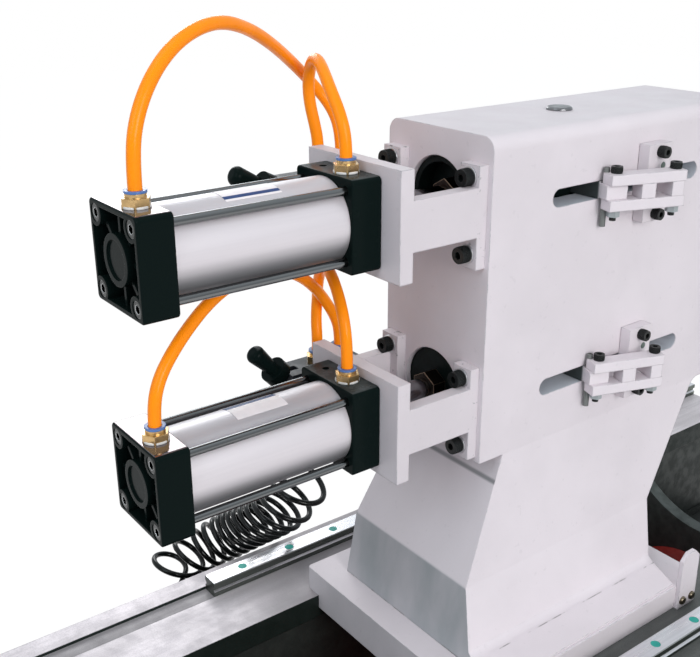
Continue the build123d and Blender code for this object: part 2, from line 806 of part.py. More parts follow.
# What each cylinder pushes: piston, rod, lock nut, quill, live centre on its bearings
piston_land = (piston_length - 2 * piston_groove_width) / 3
piston_front = piston_back + piston_length
piston_diameter = cylinder_bore - 2 * running_clearance
centre_start = quill_front - centre_bore_depth + centre_gap
centre_shoulder = quill_front + centre_gap
for name, axis in quill_axes.items():
    nut_seat = quill_back + nut_well_depths[name]
    nut_back = nut_seat - rod_nut_length
    with BuildPart() as piston:
        rod_x(piston_diameter - 2 * piston_groove_depth, piston_back, piston_front, 0, axis)
        for index in range(3):
            land_start = piston_back + index * (piston_land + piston_groove_width)
            rod_x(piston_diameter, land_start, land_start + piston_land, 0, axis)
        rod_x(rod_thread, piston_back, piston_front, 0, axis, Mode.SUBTRACT)
    save(piston.part, f"{name}_piston")

    with BuildPart() as piston_rod:
        rod_x(rod_thread, piston_back, nut_seat + rod_thread_engaged, 0, axis)
        rod_x(rod_diameter, piston_front, nut_back, 0, axis)
    save(piston_rod.part, f"{name}_piston_rod")

    with BuildPart() as rod_nut:
        with BuildSketch(Plane(origin=(nut_back, 0, axis), z_dir=(1, 0, 0))):
            RegularPolygon(hex_circle(rod_nut_flats), 6)
            Circle(rod_thread / 2, mode=Mode.SUBTRACT)
        extrude(amount=rod_nut_length)
    save(rod_nut.part, f"{name}_rod_nut")

    with BuildPart() as quill:
        rod_x(quill_diameter, quill_back, quill_front, 0, axis)
        if nut_well_depths[name]:
            rod_x(nut_well, quill_back, nut_seat, 0, axis, Mode.SUBTRACT)
        rod_x(rod_thread, nut_seat, nut_seat + rod_thread_engaged, 0, axis, Mode.SUBTRACT)
        rod_x(bearing_outer, quill_front - centre_bore_depth, quill_front, 0, axis, Mode.SUBTRACT)
        block(yoke_bolt_x - key_width / 2, yoke_bolt_x + key_width / 2, -quill_diameter / 2,
              key_pocket_depth - quill_diameter / 2, axis - key_height / 2, axis + key_height / 2,
              Mode.SUBTRACT)
    save(quill.part, f"{name}_quill")

    with BuildPart() as centre_bearings:
        for inset in (bearing_front_inset, bearing_rear_inset):
            bearing_front = quill_front - inset
            rod_x(bearing_outer, bearing_front - bearing_width, bearing_front, 0, axis)
            rod_x(bearing_inner, bearing_front - bearing_width, bearing_front, 0, axis, Mode.SUBTRACT)
    save(centre_bearings.part, f"{name}_centre_bearings")

    with BuildPart() as live_centre:
        flange_front = centre_shoulder + centre_flange_width
        cup_front = flange_front + centre_cup_length
        shaft = bearing_inner / 2 - running_clearance
        with BuildSketch(Plane(origin=(0, 0, axis), x_dir=(1, 0, 0), z_dir=(0, -1, 0))):
            with BuildLine():
                Polyline(
                    (centre_start, 0),
                    (centre_start, shaft),
                    (centre_shoulder, shaft),
                    (centre_shoulder, centre_flange / 2),
                    (flange_front, centre_flange / 2),
                    (flange_front, centre_neck / 2),
                    (cup_front, centre_cup / 2),
                    (cup_front, centre_cup / 2 - cup_wall),
                    (cup_front - cup_depth, centre_point_root / 2),
                    (cup_front - cup_depth + centre_point_length, 0),
                    close=True,
                )
            make_face()
        revolve(axis=Axis((0, 0, axis), (1, 0, 0)))
    save(live_centre.part, f"{name}_live_centre")

# Yokes: a lug keyed to the quill through the slot, two clamped bars and a guide bar on the head's face
for name, axis in quill_axes.items():
    swing = math.radians(yoke_yaw)
    along = (math.cos(swing), -math.sin(swing), 0)
    yoke_plane = Plane(origin=(yoke_bolt_x, yoke_bolt_y, axis), x_dir=along, z_dir=(0, 0, 1))
    bar_middle = yoke_length / 2 - yoke_end
    bolt_hole = yoke_screw + screw_clearance
    lug_top = axis + lug_height / 2
    lug_bottom = axis - lug_height / 2
    bar_top = lug_top + yoke_bar
    bar_bottom = lug_bottom - yoke_bar
    with BuildPart() as yoke_plates:
        for level in (lug_height / 2, -lug_height / 2 - yoke_bar):
            with BuildSketch(yoke_plane.offset(level)):
                with Locations((bar_middle, -yoke_forward)):
                    Rectangle(yoke_length, yoke_depth)
                with Locations((0, 0), (yoke_bolt_pitch, 0)):
                    Circle(bolt_hole / 2, mode=Mode.SUBTRACT)
            extrude(amount=yoke_bar)
        rod_z(dowel_hole, bar_bottom, bar_top, dowel_x, dowel_y, Mode.SUBTRACT)
    save(yoke_plates.part, f"{name}_yoke_plates")

    with BuildPart() as yoke_key:
        with BuildSketch(yoke_plane.offset(-lug_height / 2)):
            with Locations((-lug_shift, lug_recess / 2 - yoke_forward)):
                Rectangle(lug_length, yoke_depth - lug_recess)
            with Locations((middle_spacer_place, -yoke_forward)):
                Rectangle(middle_spacer_length, yoke_depth)
            with Locations((spacer_place, spacer_reach / 2 - yoke_forward)):
                Rectangle(spacer_length, yoke_depth + spacer_reach)
        extrude(amount=lug_height)
        key_start = -head_side - key_stop
        block(yoke_bolt_x - key_width / 2, yoke_bolt_x + key_width / 2, yoke_bolt_y, key_start,
              lug_bottom, lug_top)
        block(yoke_bolt_x - key_width / 2, yoke_bolt_x + key_width / 2, key_start,
              key_pocket_depth - quill_diameter / 2, axis - key_height / 2, axis + key_height / 2)
        block(guide_bar_back_x - guide_bar_width / 2, guide_bar_back_x + guide_bar_width, guide_bar_front,
              guide_bar_front + spacer_reach, lug_bottom, lug_top, Mode.SUBTRACT)
        rod_z(dowel_hole, axis - key_height / 2, axis + key_height / 2, dowel_x, dowel_y, Mode.SUBTRACT)
        for bolt_place in (0, yoke_bolt_pitch):
            spot = yoke_plane.from_local_coords(Vector(bolt_place, 0, 0))
            rod_z(bolt_hole, lug_bottom, lug_top, spot.X, spot.Y, Mode.SUBTRACT)
    save(yoke_key.part, f"{name}_yoke_key")

    guide_screw_heights = (
        axis + guide_bar_top - guide_screw_inset,
        axis + guide_bar_bottom + guide_screw_inset,
    )
    guide_back = -head_side - guide_bar_gap
    with BuildPart() as guide_bar:
        block(guide_bar_back_x, guide_bar_back_x + guide_bar_width, guide_bar_front, guide_back,
              axis + guide_bar_bottom, axis + guide_bar_top)
        for height in guide_screw_heights:
            rod_y(yoke_screw, guide_bar_front, guide_back, guide_bar_middle, height, Mode.SUBTRACT)
        rod_y(guide_hole, guide_bar_front, guide_back, guide_bar_middle + guide_hole_shift,
              guide_screw_heights[0] - guide_hole_drop, Mode.SUBTRACT)
    save(guide_bar.part, f"{name}_guide_bar")

    with BuildPart() as yoke_bolts:
        bolt_end = bar_bottom - nut_height - bolt_tail
        for bolt_place in (0, yoke_bolt_pitch):
            spot = yoke_plane.from_local_coords(Vector(bolt_place, 0, 0))
            rod_z(yoke_head, bar_top, bar_top + yoke_head_height, spot.X, spot.Y)
            with BuildSketch(Plane(origin=(spot.X, spot.Y, bar_top + yoke_head_height))):
                RegularPolygon(hex_circle(yoke_socket), 6)
            extrude(amount=-yoke_socket_depth, mode=Mode.SUBTRACT)
            rod_z(yoke_screw, bolt_end, bar_top, spot.X, spot.Y)
            with BuildSketch(Plane(origin=(spot.X, spot.Y, bar_bottom - nut_height))):
                RegularPolygon(hex_circle(nut_flats), 6)
                Circle(yoke_screw / 2 + running_clearance, mode=Mode.SUBTRACT)
            extrude(amount=nut_height)
        tip = -head_side - guide_bar_gap
        for height in guide_screw_heights:
            rod_y(yoke_screw, guide_bar_front, tip, guide_bar_middle, height)
            rod_y(guide_head, guide_bar_front - guide_head_height, guide_bar_front, guide_bar_middle, height)
            with BuildSketch(Plane(origin=(guide_bar_middle, guide_bar_front - guide_head_height, height),
                                   z_dir=(0, 1, 0))):
                RegularPolygon(hex_circle(yoke_socket), 6)
            extrude(amount=yoke_socket_depth, mode=Mode.SUBTRACT)
        rod_z(dowel, axis + dowel_low, axis + dowel_high, dowel_x, dowel_y)
    save(yoke_bolts.part, f"{name}_yoke_bolts")

# Hand valves on the far arms of the brackets, each with a tilting lever
valve_end = valve_back + valve_length
valve_head_back = valve_back - valve_head_length
lever_pivot_x = valve_back - valve_head_length / 2
tongue_thickness = valve_slot_width - 2 * sliding_gap
for name, axis in quill_axes.items():
    pivot_z = axis + lever_pin_height
    with BuildPart() as valve_body:
        block(valve_back, valve_end, valve_inside, valve_inside + valve_width, axis + valve_bottom,
              axis + valve_top)
        block(valve_head_back, valve_back, valve_inside, valve_inside + valve_width,
              axis + valve_bottom, axis + valve_head_top)
        block(valve_head_back, valve_back, valve_middle - valve_slot_width / 2,
              valve_middle + valve_slot_width / 2,
              axis + valve_slot_floor, axis + valve_head_top, Mode.SUBTRACT)
        rod_y(lever_pin, valve_inside, valve_inside + valve_width, lever_pivot_x, pivot_z, Mode.SUBTRACT)
        for port_x in valve_port_x[name]:
            rod_z(port_thread, axis + valve_top - port_depth, axis + valve_top, port_x, valve_middle,
                  Mode.SUBTRACT)
        rod_z(port_thread, axis + valve_bottom, axis + valve_bottom + port_depth, inlet_x[name],
              valve_middle, Mode.SUBTRACT)
    save(valve_body.part, f"{name}_valve_body")

    tilt = math.radians(lever_tilts[name])
    lever_plane = Plane(origin=(lever_pivot_x, valve_middle, pivot_z), x_dir=(0, 1, 0),
                        z_dir=(-math.cos(tilt), 0, math.sin(tilt)))
    knob_start = lever_tongue_length + lever_collar_length
    with BuildPart() as valve_lever:
        tongue_back = lever_tongue / 2 - sliding_gap * 3
        with BuildSketch(lever_plane.offset(-tongue_back)):
            Rectangle(tongue_thickness, lever_tongue)
        extrude(amount=tongue_back + lever_tongue_length)
        with BuildSketch(lever_plane.offset(lever_tongue_length)):
            Circle(lever_collar / 2)
        extrude(amount=lever_collar_length)
        with BuildSketch(lever_plane.offset(knob_start)):
            Circle(knob_small / 2)
        with BuildSketch(lever_plane.offset(knob_start + knob_length)):
            Circle(knob_large / 2)
        loft()
        knob_end = valve_lever.faces().sort_by(Axis((0, 0, 0), lever_plane.z_dir))[-1]
        fillet(knob_end.edges(), knob_large * 0.3)
        rod_y(lever_pin + 2 * running_clearance, valve_inside, valve_inside + valve_width,
              lever_pivot_x, pivot_z,
              Mode.SUBTRACT)
    save(valve_lever.part, f"{name}_valve_lever")

with BuildPart() as lever_pins:
    for axis in quill_axes.values():
        rod_y(lever_pin, valve_inside, valve_inside + valve_width, lever_pivot_x, axis + lever_pin_height)
save(lever_pins.part, "lever_pins")

# Push-in fittings: hex bodies screwed into the ports, with release rings round the hoses
fitting_top = fitting_height + fitting_collar_height
port_faces = []
for name, axis in quill_axes.items():
    for port_x in (rear_port_x, front_port_x):
        port_faces.append((port_x, -port_offset, axis + cap_half, 1, hose_diameter))
    for port_x in valve_port_x[name]:
        port_faces.append((port_x, valve_middle, axis + valve_top, 1, hose_diameter))
    port_faces.append((inlet_x[name], valve_middle, axis + valve_bottom, -1, spiral_diameter))

with BuildPart() as port_fittings:
    for port_x, port_y, port_z, up, bore in port_faces:
        rod_z(port_thread - 2 * running_clearance, port_z - up * fitting_thread, port_z, port_x, port_y)
        with BuildSketch(Plane(origin=(port_x, port_y, port_z))):
            RegularPolygon(hex_circle(fitting_flats), 6)
        extrude(amount=up * fitting_height)
        rod_z(fitting_collar, port_z + up * fitting_height, port_z + up * fitting_top, port_x, port_y)
save(port_fittings.part, "port_fittings")

with BuildPart() as release_rings:
    for port_x, port_y, port_z, up, bore in port_faces:
        ring_start = port_z + up * fitting_top
        rod_z(ring_diameter, ring_start, ring_start + up * ring_height, port_x, port_y)
        rod_z(bore + 2 * ring_bore_gap, ring_start, ring_start + up * ring_height, port_x, port_y,
              Mode.SUBTRACT)
save(release_rings.part, "release_rings")

# Orange hoses from the valve ports to the cylinder ports
hose_routes = {
    "upper_rear": [
        (-381, -10.5, 674), (-381, -10.5, 696.5), (-376, -8.6, 720), (-362, -3.4, 744), (-341, 4.4, 763),
        (-315, 14.1, 774.5), (-286.5, 26.7, 777), (-254.3, 45.3, 769), (-221.5, 66.5, 755),
        (-187, 89, 736), (-158.5, 100.5, 715), (-145, 91, 694.5), (-148, 75, 675), (-148, 75, 654.5),
    ],
    "upper_front": [
        (-206, -10.5, 674), (-206, -10.5, 690), (-206.5, -3.5, 708), (-204.5, 11, 723.5), (-198.5, 28, 735),
        (-191.5, 45, 741.5), (-185, 60.5, 741.5), (-180.5, 73, 733.5), (-178, 80, 718),
        (-177, 79, 702), (-174.5, 76.5, 686.5), (-172, 75, 671), (-172, 75, 654.5),
    ],
    "lower_rear": [
        (-381, -10.5, 499), (-381, -10.5, 515), (-374, -7.9, 534), (-360, -2.7, 549), (-342, 4.1, 562.5),
        (-320, 12.3, 575), (-294, 22, 582.5), (-266, 32.4, 584), (-238, 42.9, 578), (-212, 52.6, 566.5),
        (-189, 61.2, 549), (-170, 68.3, 527.5), (-157.5, 72.9, 509), (-151.5, 75, 494),
        (-151.5, 75, 479.5),
    ],
    "lower_front": [
        (-206, -10.5, 499), (-206, -10.5, 518.5), (-204.5, -5, 539), (-199.5, 9, 555.5), (-192, 29, 567),
        (-183, 51, 569), (-176.5, 68, 560), (-172.5, 78, 544), (-171.5, 81.5, 526), (-173.5, 80.5, 508.5),
        (-176.5, 75, 494), (-176.5, 75, 479.5),
    ],
}


def bend_radii(points):
    radii = []
    for before, here, after in zip(points, points[1:], points[2:]):
        run_in = Vector(*here) - Vector(*before)
        run_out = Vector(*after) - Vector(*here)
        half_turn = math.radians(run_in.get_angle(run_out)) / 2
        radii.append(0.45 * min(run_in.length, run_out.length) / math.tan(half_turn))
    return radii


for name, points in hose_routes.items():
    radii = bend_radii(points)
    with BuildPart() as hose:
        with BuildLine() as hose_path:
            FilletPolyline(*points, radius=radii)
        route = hose_path.wires()[0]
        with BuildSketch(Plane(origin=route @ 0, z_dir=route % 0)):
            Circle(hose_diameter / 2)
        sweep(path=route)
    section = math.pi * hose_diameter**2 / 4
    print(name, "hose length", round(route.length), "least bend", round(min(radii)),
          "volume over section x length", round(hose.part.volume / (section * route.length), 3))
    save(hose.part, f"{name}_hose")

# Black spiral hose: one tube from the lower valve's inlet, through its coil, to the elbow on the rear beam
coil_centres = [
    Vector(-150, 131, 322), Vector(-153, 166, 265), Vector(-156, 206, 230), Vector(-162, 233, 209),
    Vector(-174, 251, 194), Vector(-190, 262, 183), Vector(-225, 268, 172), Vector(-258, 270, 166),
]
coil_facings = [
    (0, Vector(-0.46, 0.25, -0.85)), (0.42, Vector(-0.42, 0.4, -0.8)), (0.66, Vector(-0.66, 0.46, -0.55)),
    (0.84, Vector(-0.7, 0.4, -0.55)), (1, Vector(-0.12, 0.12, -0.98)),
]


def coil_centre(share):
    spans = len(coil_centres) - 2
    span = min(int(share * spans), spans - 1)
    part = share * spans - span
    here = coil_centres[span + 1]
    first = coil_centres[0] if span == 0 else (coil_centres[span] + here) * 0.5
    last = coil_centres[-1] if span == spans - 1 else (here + coil_centres[span + 2]) * 0.5
    return first * (1 - part) ** 2 + here * (2 * part * (1 - part)) + last * part**2


def coil_facing(share):
    for (before, start), (after, end) in zip(coil_facings, coil_facings[1:]):
        mix = (share - before) / (after - before)
        if mix <= 1 or after == 1:
            return (start.normalized() * (1 - mix) + end.normalized() * mix).normalized()


def coil_point(share):
    facing = coil_facing(share)
    level = Vector(0, 0, 1).cross(facing).normalized()
    steep = facing.cross(level)
    radius = coil_radius + (coil_end_radius - coil_radius) * share
    turn = math.radians(coil_phase) + 2 * math.pi * coil_turns * share
    return coil_centre(share) + level * (radius * math.cos(turn)) + steep * (radius * math.sin(turn))


def arc_meeting(start, start_heading, end, end_heading):
    gap = end - start
    both = start_heading + end_heading
    spread = 2 * (1 - start_heading.dot(end_heading))
    reach = gap.dot(both)
    if spread < 1e-6:
        size = gap.dot(gap) / (4 * gap.dot(end_heading))
    else:
        size = (math.sqrt(reach**2 + spread * gap.dot(gap)) - reach) / spread
    return (start + end + (start_heading - end_heading) * size) * 0.5


inlet_face = lower_axis + valve_bottom - fitting_top
stations = [(Vector(inlet_x["lower"], valve_middle, inlet_face - spiral_diameter), Vector(0, 0, -1))]
quarter_turns = round(4 * coil_turns)
nudge = 1e-4
for index in range(quarter_turns + 1):
    share = index / quarter_turns
    heading = (coil_point(share + nudge) - coil_point(share - nudge)).normalized()
    stations.append((coil_point(share), heading))
stations.append((Vector(elbow_face + spiral_diameter, elbow_y, bulkhead_height), Vector(-1, 0, 0)))

with BuildPart() as spiral_hose:
    with BuildLine() as spiral_path:
        Line(stations[0][0] + Vector(0, 0, spiral_diameter), stations[0][0])
        for (start, start_heading), (end, end_heading) in zip(stations, stations[1:]):
            meeting = arc_meeting(start, start_heading, end, end_heading)
            first = TangentArc(start, meeting, tangent=start_heading)
            TangentArc(meeting, end, tangent=first % 1)
        Line(stations[-1][0], stations[-1][0] - Vector(spiral_diameter, 0, 0))
    spiral = spiral_path.wires()[0]
    with BuildSketch(Plane(origin=spiral @ 0, z_dir=spiral % 0)):
        Circle(spiral_diameter / 2)
    sweep(path=spiral)
section = math.pi * spiral_diameter**2 / 4
samples = [spiral @ (index / 1500) for index in range(1501)]
step = spiral.length / 1500
apart = int(3 * spiral_diameter / step)
gaps = [
    (samples[i] - samples[j]).length - spiral_diameter
    for i in range(0, 1501, 2)
    for j in range(i + apart, 1501, 2)
]
print("spiral hose length", round(spiral.length), "least gap to itself", round(min(gaps), 2),
      "least bend", round(min(edge.radius for edge in spiral_path.edges().filter_by(GeomType.CIRCLE)), 1),
      "volume over section x length", round(spiral_hose.part.volume / (section * spiral.length), 3))
save(spiral_hose.part, "spiral_hose")
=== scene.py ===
# %% [markdown]
# # The tailstock end of an automatic wood lathe
# A cast head stands on the bed and holds two quills, one above the other. An air cylinder
# behind each quill pushes it towards the work. This lesson loads the finished solids as a
# fixed frame, sets the camera, lays the hoses, adds the small parts that repeat, and then
# gives each piece the finish it has in the photograph.

import json
import math

import bmesh
import bpy
from mathutils import Matrix, Vector


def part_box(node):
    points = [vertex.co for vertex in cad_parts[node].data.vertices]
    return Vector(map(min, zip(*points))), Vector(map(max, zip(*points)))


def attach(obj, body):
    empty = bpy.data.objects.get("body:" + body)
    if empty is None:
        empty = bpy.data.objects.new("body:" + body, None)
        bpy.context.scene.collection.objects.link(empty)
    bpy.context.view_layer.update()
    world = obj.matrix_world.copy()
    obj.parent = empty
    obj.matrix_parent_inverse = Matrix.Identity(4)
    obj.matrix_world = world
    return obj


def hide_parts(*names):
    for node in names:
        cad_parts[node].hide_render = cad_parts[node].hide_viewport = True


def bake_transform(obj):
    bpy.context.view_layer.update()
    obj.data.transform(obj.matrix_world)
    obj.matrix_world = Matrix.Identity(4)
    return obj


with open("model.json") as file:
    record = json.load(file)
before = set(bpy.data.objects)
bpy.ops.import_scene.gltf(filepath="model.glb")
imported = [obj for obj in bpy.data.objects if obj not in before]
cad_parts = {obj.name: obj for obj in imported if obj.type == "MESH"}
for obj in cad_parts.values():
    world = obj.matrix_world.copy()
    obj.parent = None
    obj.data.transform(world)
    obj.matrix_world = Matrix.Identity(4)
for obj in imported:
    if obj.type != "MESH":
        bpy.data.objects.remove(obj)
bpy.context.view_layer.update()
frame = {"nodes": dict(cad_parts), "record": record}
nodes = frame["nodes"]

# %% [markdown]
# ## Camera
# The camera was worked out from straight edges of the photograph: it stands behind the
# cylinders, a little above the head, and looks along and across the bed. The picture is
# 700 by 657, so a lens in millimetres follows from the focal length in pixels.

# %% Camera
picture_width = 700
focal_pixels = 991.05
camera_place = Vector((-0.65464, -0.61546, 0.829))
yaw, pitch, roll = 0.929348, 0.372152, -0.003891

forward = Vector((math.cos(yaw) * math.cos(pitch), math.sin(yaw) * math.cos(pitch), -math.sin(pitch)))
level_right = Vector((math.sin(yaw), -math.cos(yaw), 0))
level_up = level_right.cross(forward)
right = level_right * math.cos(roll) + level_up * math.sin(roll)
up = right.cross(forward)

camera_data = bpy.data.cameras.new("photo_camera")
camera_data.sensor_width = 36
camera_data.lens = 36 * focal_pixels / picture_width
camera_data.clip_start = 0.01
camera = bpy.data.objects.new("photo_camera", camera_data)
bpy.context.scene.collection.objects.link(camera)
camera.matrix_world = Matrix.Translation(camera_place) @ Matrix((right, up, -forward)).transposed().to_4x4()
bpy.context.scene.camera = camera
bpy.context.scene.view_settings.view_transform = "Standard"
print("lens", round(camera_data.lens, 2), "mm")

# %% [markdown]
# ## Hoses
# Each orange hose is a fixed length of stiff tube between two push-in fittings. Its route is
# a short list of points, and a NURBS spline of order 3 with those points as its controls
# gives one smooth bow, as a hose makes by itself. The bevelled curve is then turned into a
# mesh with capped ends, because the size of a mesh can be read straight from its corners.

# %% Curve helpers
MM = 0.001


def add_object(name, data):
    obj = bpy.data.objects.new(name, data)
    bpy.context.scene.collection.objects.link(obj)
    return obj


def nurbs_curve(name, points, bevel=0.0, resolution=8):
    data = bpy.data.curves.new(name, "CURVE")
    data.dimensions = "3D"
    data.resolution_u = resolution
    data.bevel_depth = bevel
    data.bevel_resolution = 5
    data.use_fill_caps = True
    spline = data.splines.new("NURBS")
    spline.points.add(len(points) - 1)
    for point, place in zip(spline.points, points):
        point.co = (*place, 1)
    spline.order_u = 3
    spline.use_endpoint_u = True
    return add_object(name, data)


def evaluated_mesh(obj):
    bpy.context.view_layer.update()
    depsgraph = bpy.context.evaluated_depsgraph_get()
    return bpy.data.meshes.new_from_object(obj.evaluated_get(depsgraph))


def read_points(curve):
    line = evaluated_mesh(curve)
    points = [vertex.co.copy() for vertex in line.vertices]
    bpy.data.meshes.remove(line)
    bpy.data.objects.remove(curve)
    return points


def line_length(points):
    return sum((after - before).length for before, after in zip(points, points[1:]))


def tube(name, points, diameter, resolution=8):
    curve = nurbs_curve(f"{name}_curve", points, diameter / 2, resolution)
    obj = add_object(name, evaluated_mesh(curve))
    bpy.data.objects.remove(curve)
    return obj


print("curve helpers ready")

# %% Orange hoses
hose_diameter = 0.010
hose_routes = {
    "upper_rear_hose": [
        (-381, -10.5, 674), (-381, -10.5, 696.5), (-376, -8.6, 720), (-362, -3.4, 744), (-341, 4.4, 763),
        (-315, 14.1, 774.5), (-286.5, 26.7, 777), (-254.3, 45.3, 769), (-221.5, 66.5, 755),
        (-187, 89, 736), (-158.5, 100.5, 715), (-145, 91, 694.5), (-148, 75, 675), (-148, 75, 654.5),
    ],
    "upper_front_hose": [
        (-206, -10.5, 674), (-206, -10.5, 690), (-206.5, -3.5, 708), (-204.5, 11, 723.5), (-198.5, 28, 735),
        (-191.5, 45, 741.5), (-185, 60.5, 741.5), (-180.5, 73, 733.5), (-178, 80, 718),
        (-177, 79, 702), (-174.5, 76.5, 686.5), (-172, 75, 671), (-172, 75, 654.5),
    ],
    "lower_rear_hose": [
        (-381, -10.5, 499), (-381, -10.5, 515), (-374, -7.9, 534), (-360, -2.7, 549), (-342, 4.1, 562.5),
        (-320, 12.3, 575), (-294, 22, 582.5), (-266, 32.4, 584), (-238, 42.9, 578), (-212, 52.6, 566.5),
        (-189, 61.2, 549), (-170, 68.3, 527.5), (-157.5, 72.9, 509), (-151.5, 75, 494),
        (-151.5, 75, 479.5),
    ],
    "lower_front_hose": [
        (-206, -10.5, 499), (-206, -10.5, 518.5), (-204.5, -5, 539), (-199.5, 9, 555.5), (-192, 29, 567),
        (-183, 51, 569), (-176.5, 68, 560), (-172.5, 78, 544), (-171.5, 81.5, 526), (-173.5, 80.5, 508.5),
        (-176.5, 75, 494), (-176.5, 75, 479.5),
    ],
}
orange_hoses = []
for node, route in hose_routes.items():
    points = [Vector(point) * MM for point in route]
    path = read_points(nurbs_curve(f"{node}_line", points))
    hose = tube(f"{node}_tube", points, hose_diameter)
    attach(hose, "tailstock")
    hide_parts(node)
    orange_hoses.append(hose)

# %% [markdown]
# The black supply hose is a spiral. It leaves the lower valve, sags over the rear way and
# hangs behind the bed, and its turns lean because their own weight pulls them down. The line
# through the middles of the turns is a spline of its own. Each turn is then a ring of points
# round the points read from that spline, in a plane that faces a direction of its own, so
# the turns can lean while the line runs on. Both ends move apart when the tailstock slides,
# but here the finished tube is one still mesh that stays where it lies.

# %% Spiral hose
spiral_diameter = 0.006
coil_radius, coil_end_radius = 0.028, 0.024
coil_turns = 14.5
coil_start_angle = math.radians(90)
points_per_turn = 16
coil_centres = [(-150, 131, 322), (-153, 166, 265), (-156, 206, 230), (-162, 233, 209), (-174, 251, 194),
                (-190, 262, 183), (-225, 268, 172), (-258, 270, 166)]
coil_facings = [(0, (-0.46, 0.25, -0.85)), (0.42, (-0.42, 0.4, -0.8)), (0.66, (-0.66, 0.46, -0.55)),
                (0.84, (-0.7, 0.4, -0.55)), (1, (-0.12, 0.12, -0.98))]
strand = [(-164, 75, 417.5), (-164, 75, 405), (-165.5, 82, 378), (-169.5, 100, 352), (-173, 122, 340)]
tail = [(-256, 239, 159), (-274, 225, 151), (-290, 219, 142), (-300, 219, 140), (-310, 219, 140)]


def facing_at(share):
    for (before, start), (after, end) in zip(coil_facings, coil_facings[1:]):
        if share <= after:
            mix = (share - before) / (after - before)
            return Vector(start).normalized().lerp(Vector(end).normalized(), mix).normalized()


middle_line = read_points(nurbs_curve("coil_middle", [Vector(p) * MM for p in coil_centres], resolution=60))
turn_points = []
count = int(coil_turns * points_per_turn)
for index in range(count + 1):
    share = index / count
    place = share * (len(middle_line) - 1)
    low = min(int(place), len(middle_line) - 2)
    centre = middle_line[low].lerp(middle_line[low + 1], place - low)
    facing = facing_at(share)
    level = Vector((0, 0, 1)).cross(facing).normalized()
    steep = facing.cross(level)
    radius = coil_radius + (coil_end_radius - coil_radius) * share
    angle = coil_start_angle + 2 * math.pi * coil_turns * share
    turn_points.append(centre + radius * (math.cos(angle) * level + math.sin(angle) * steep))
spiral_points = [Vector(p) * MM for p in strand] + turn_points + [Vector(p) * MM for p in tail]
spiral_path = read_points(nurbs_curve("spiral_line", spiral_points, resolution=4))
spiral = tube("spiral_hose_tube", spiral_points, spiral_diameter, resolution=4)
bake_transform(spiral)
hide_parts("spiral_hose")
print("spiral hose length", round(line_length(spiral_path), 3))

# %% [markdown]
# ## Stage
# The floor is pale and the surround white. To the camera, and in reflections, both show as
# white through Light Path, while the light that falls on the machine stays at a plain level.
# Reflections of the room behind the camera are dim, as in any studio, so polished rods show
# a bright side and a dark side. A little of the floor's own shading keeps the shadow.

# %% Floor and surround
def new_finish(name):
    material = bpy.data.materials.new(name)
    material.use_nodes = True
    tree = material.node_tree
    return material, tree, tree.nodes["Principled BSDF"]


def seen_directly(tree):
    path = tree.nodes.new("ShaderNodeLightPath")
    total = None
    for ray in ("Is Camera Ray", "Is Glossy Ray", "Is Transmission Ray"):
        if total is None:
            total = path.outputs[ray]
            continue
        either = tree.nodes.new("ShaderNodeMath")
        either.operation = "MAXIMUM"
        tree.links.new(total, either.inputs[0])
        tree.links.new(path.outputs[ray], either.inputs[1])
        total = either.outputs[0]
    return total


def scaled(tree, value, factor, offset=0.0):
    node = tree.nodes.new("ShaderNodeMath")
    node.operation = "MULTIPLY_ADD"
    tree.links.new(value, node.inputs[0])
    node.inputs[1].default_value = factor
    node.inputs[2].default_value = offset
    return node.outputs[0]


floor_mesh = bpy.data.meshes.new("floor")
floor_mesh.from_pydata([(-6, -6, 0), (6, -6, 0), (6, 6, 0), (-6, 6, 0)], [], [(0, 1, 2, 3)])
floor = add_object("floor", floor_mesh)
floor_finish, floor_tree, floor_shader = new_finish("floor_white")
floor_shader.inputs["Base Color"].default_value = (0.45, 0.45, 0.46, 1)
floor_shader.inputs["Roughness"].default_value = 0.8
glow = floor_tree.nodes.new("ShaderNodeEmission")
glow.inputs["Strength"].default_value = 1.1
blend_floor = floor_tree.nodes.new("ShaderNodeMixShader")
floor_tree.links.new(scaled(floor_tree, seen_directly(floor_tree), 0.88), blend_floor.inputs[0])
floor_tree.links.new(floor_shader.outputs[0], blend_floor.inputs[1])
floor_tree.links.new(glow.outputs[0], blend_floor.inputs[2])
floor_tree.links.new(blend_floor.outputs[0], floor_tree.nodes["Material Output"].inputs["Surface"])
floor_mesh.materials.append(floor_finish)

surround_light = 0.53
room_behind = 0.2
world = bpy.data.worlds.new("surround")
bpy.context.scene.world = world
world.use_nodes = True
sky = world.node_tree
surround = sky.nodes["Background"]
rays = sky.nodes.new("ShaderNodeLightPath")
tint = sky.nodes.new("ShaderNodeMix")
tint.data_type = "RGBA"
sky.links.new(rays.outputs["Is Camera Ray"], tint.inputs["Factor"])
tint.inputs[6].default_value = (0.89, 0.96, 1, 1)
tint.inputs[7].default_value = (1, 1, 1, 1)
sky.links.new(tint.outputs[2], surround.inputs["Color"])
facing_room = sky.nodes.new("ShaderNodeVectorMath")
facing_room.operation = "DOT_PRODUCT"
sky.links.new(sky.nodes.new("ShaderNodeTexCoord").outputs["Generated"], facing_room.inputs[0])
facing_room.inputs[1].default_value = (-math.cos(yaw), -math.sin(yaw), 0)
room = sky.nodes.new("ShaderNodeMapRange")
sky.links.new(facing_room.outputs["Value"], room.inputs["Value"])
for label, number in (("From Min", 0.1), ("From Max", 0.7), ("To Min", 1), ("To Max", room_behind)):
    room.inputs[label].default_value = number
mirrored = sky.nodes.new("ShaderNodeMath")
mirrored.operation = "MULTIPLY"
sky.links.new(scaled(sky, room.outputs["Result"], 1, -surround_light), mirrored.inputs[0])
sky.links.new(rays.outputs["Is Glossy Ray"], mirrored.inputs[1])
strength = sky.nodes.new("ShaderNodeMath")
strength.operation = "MAXIMUM"
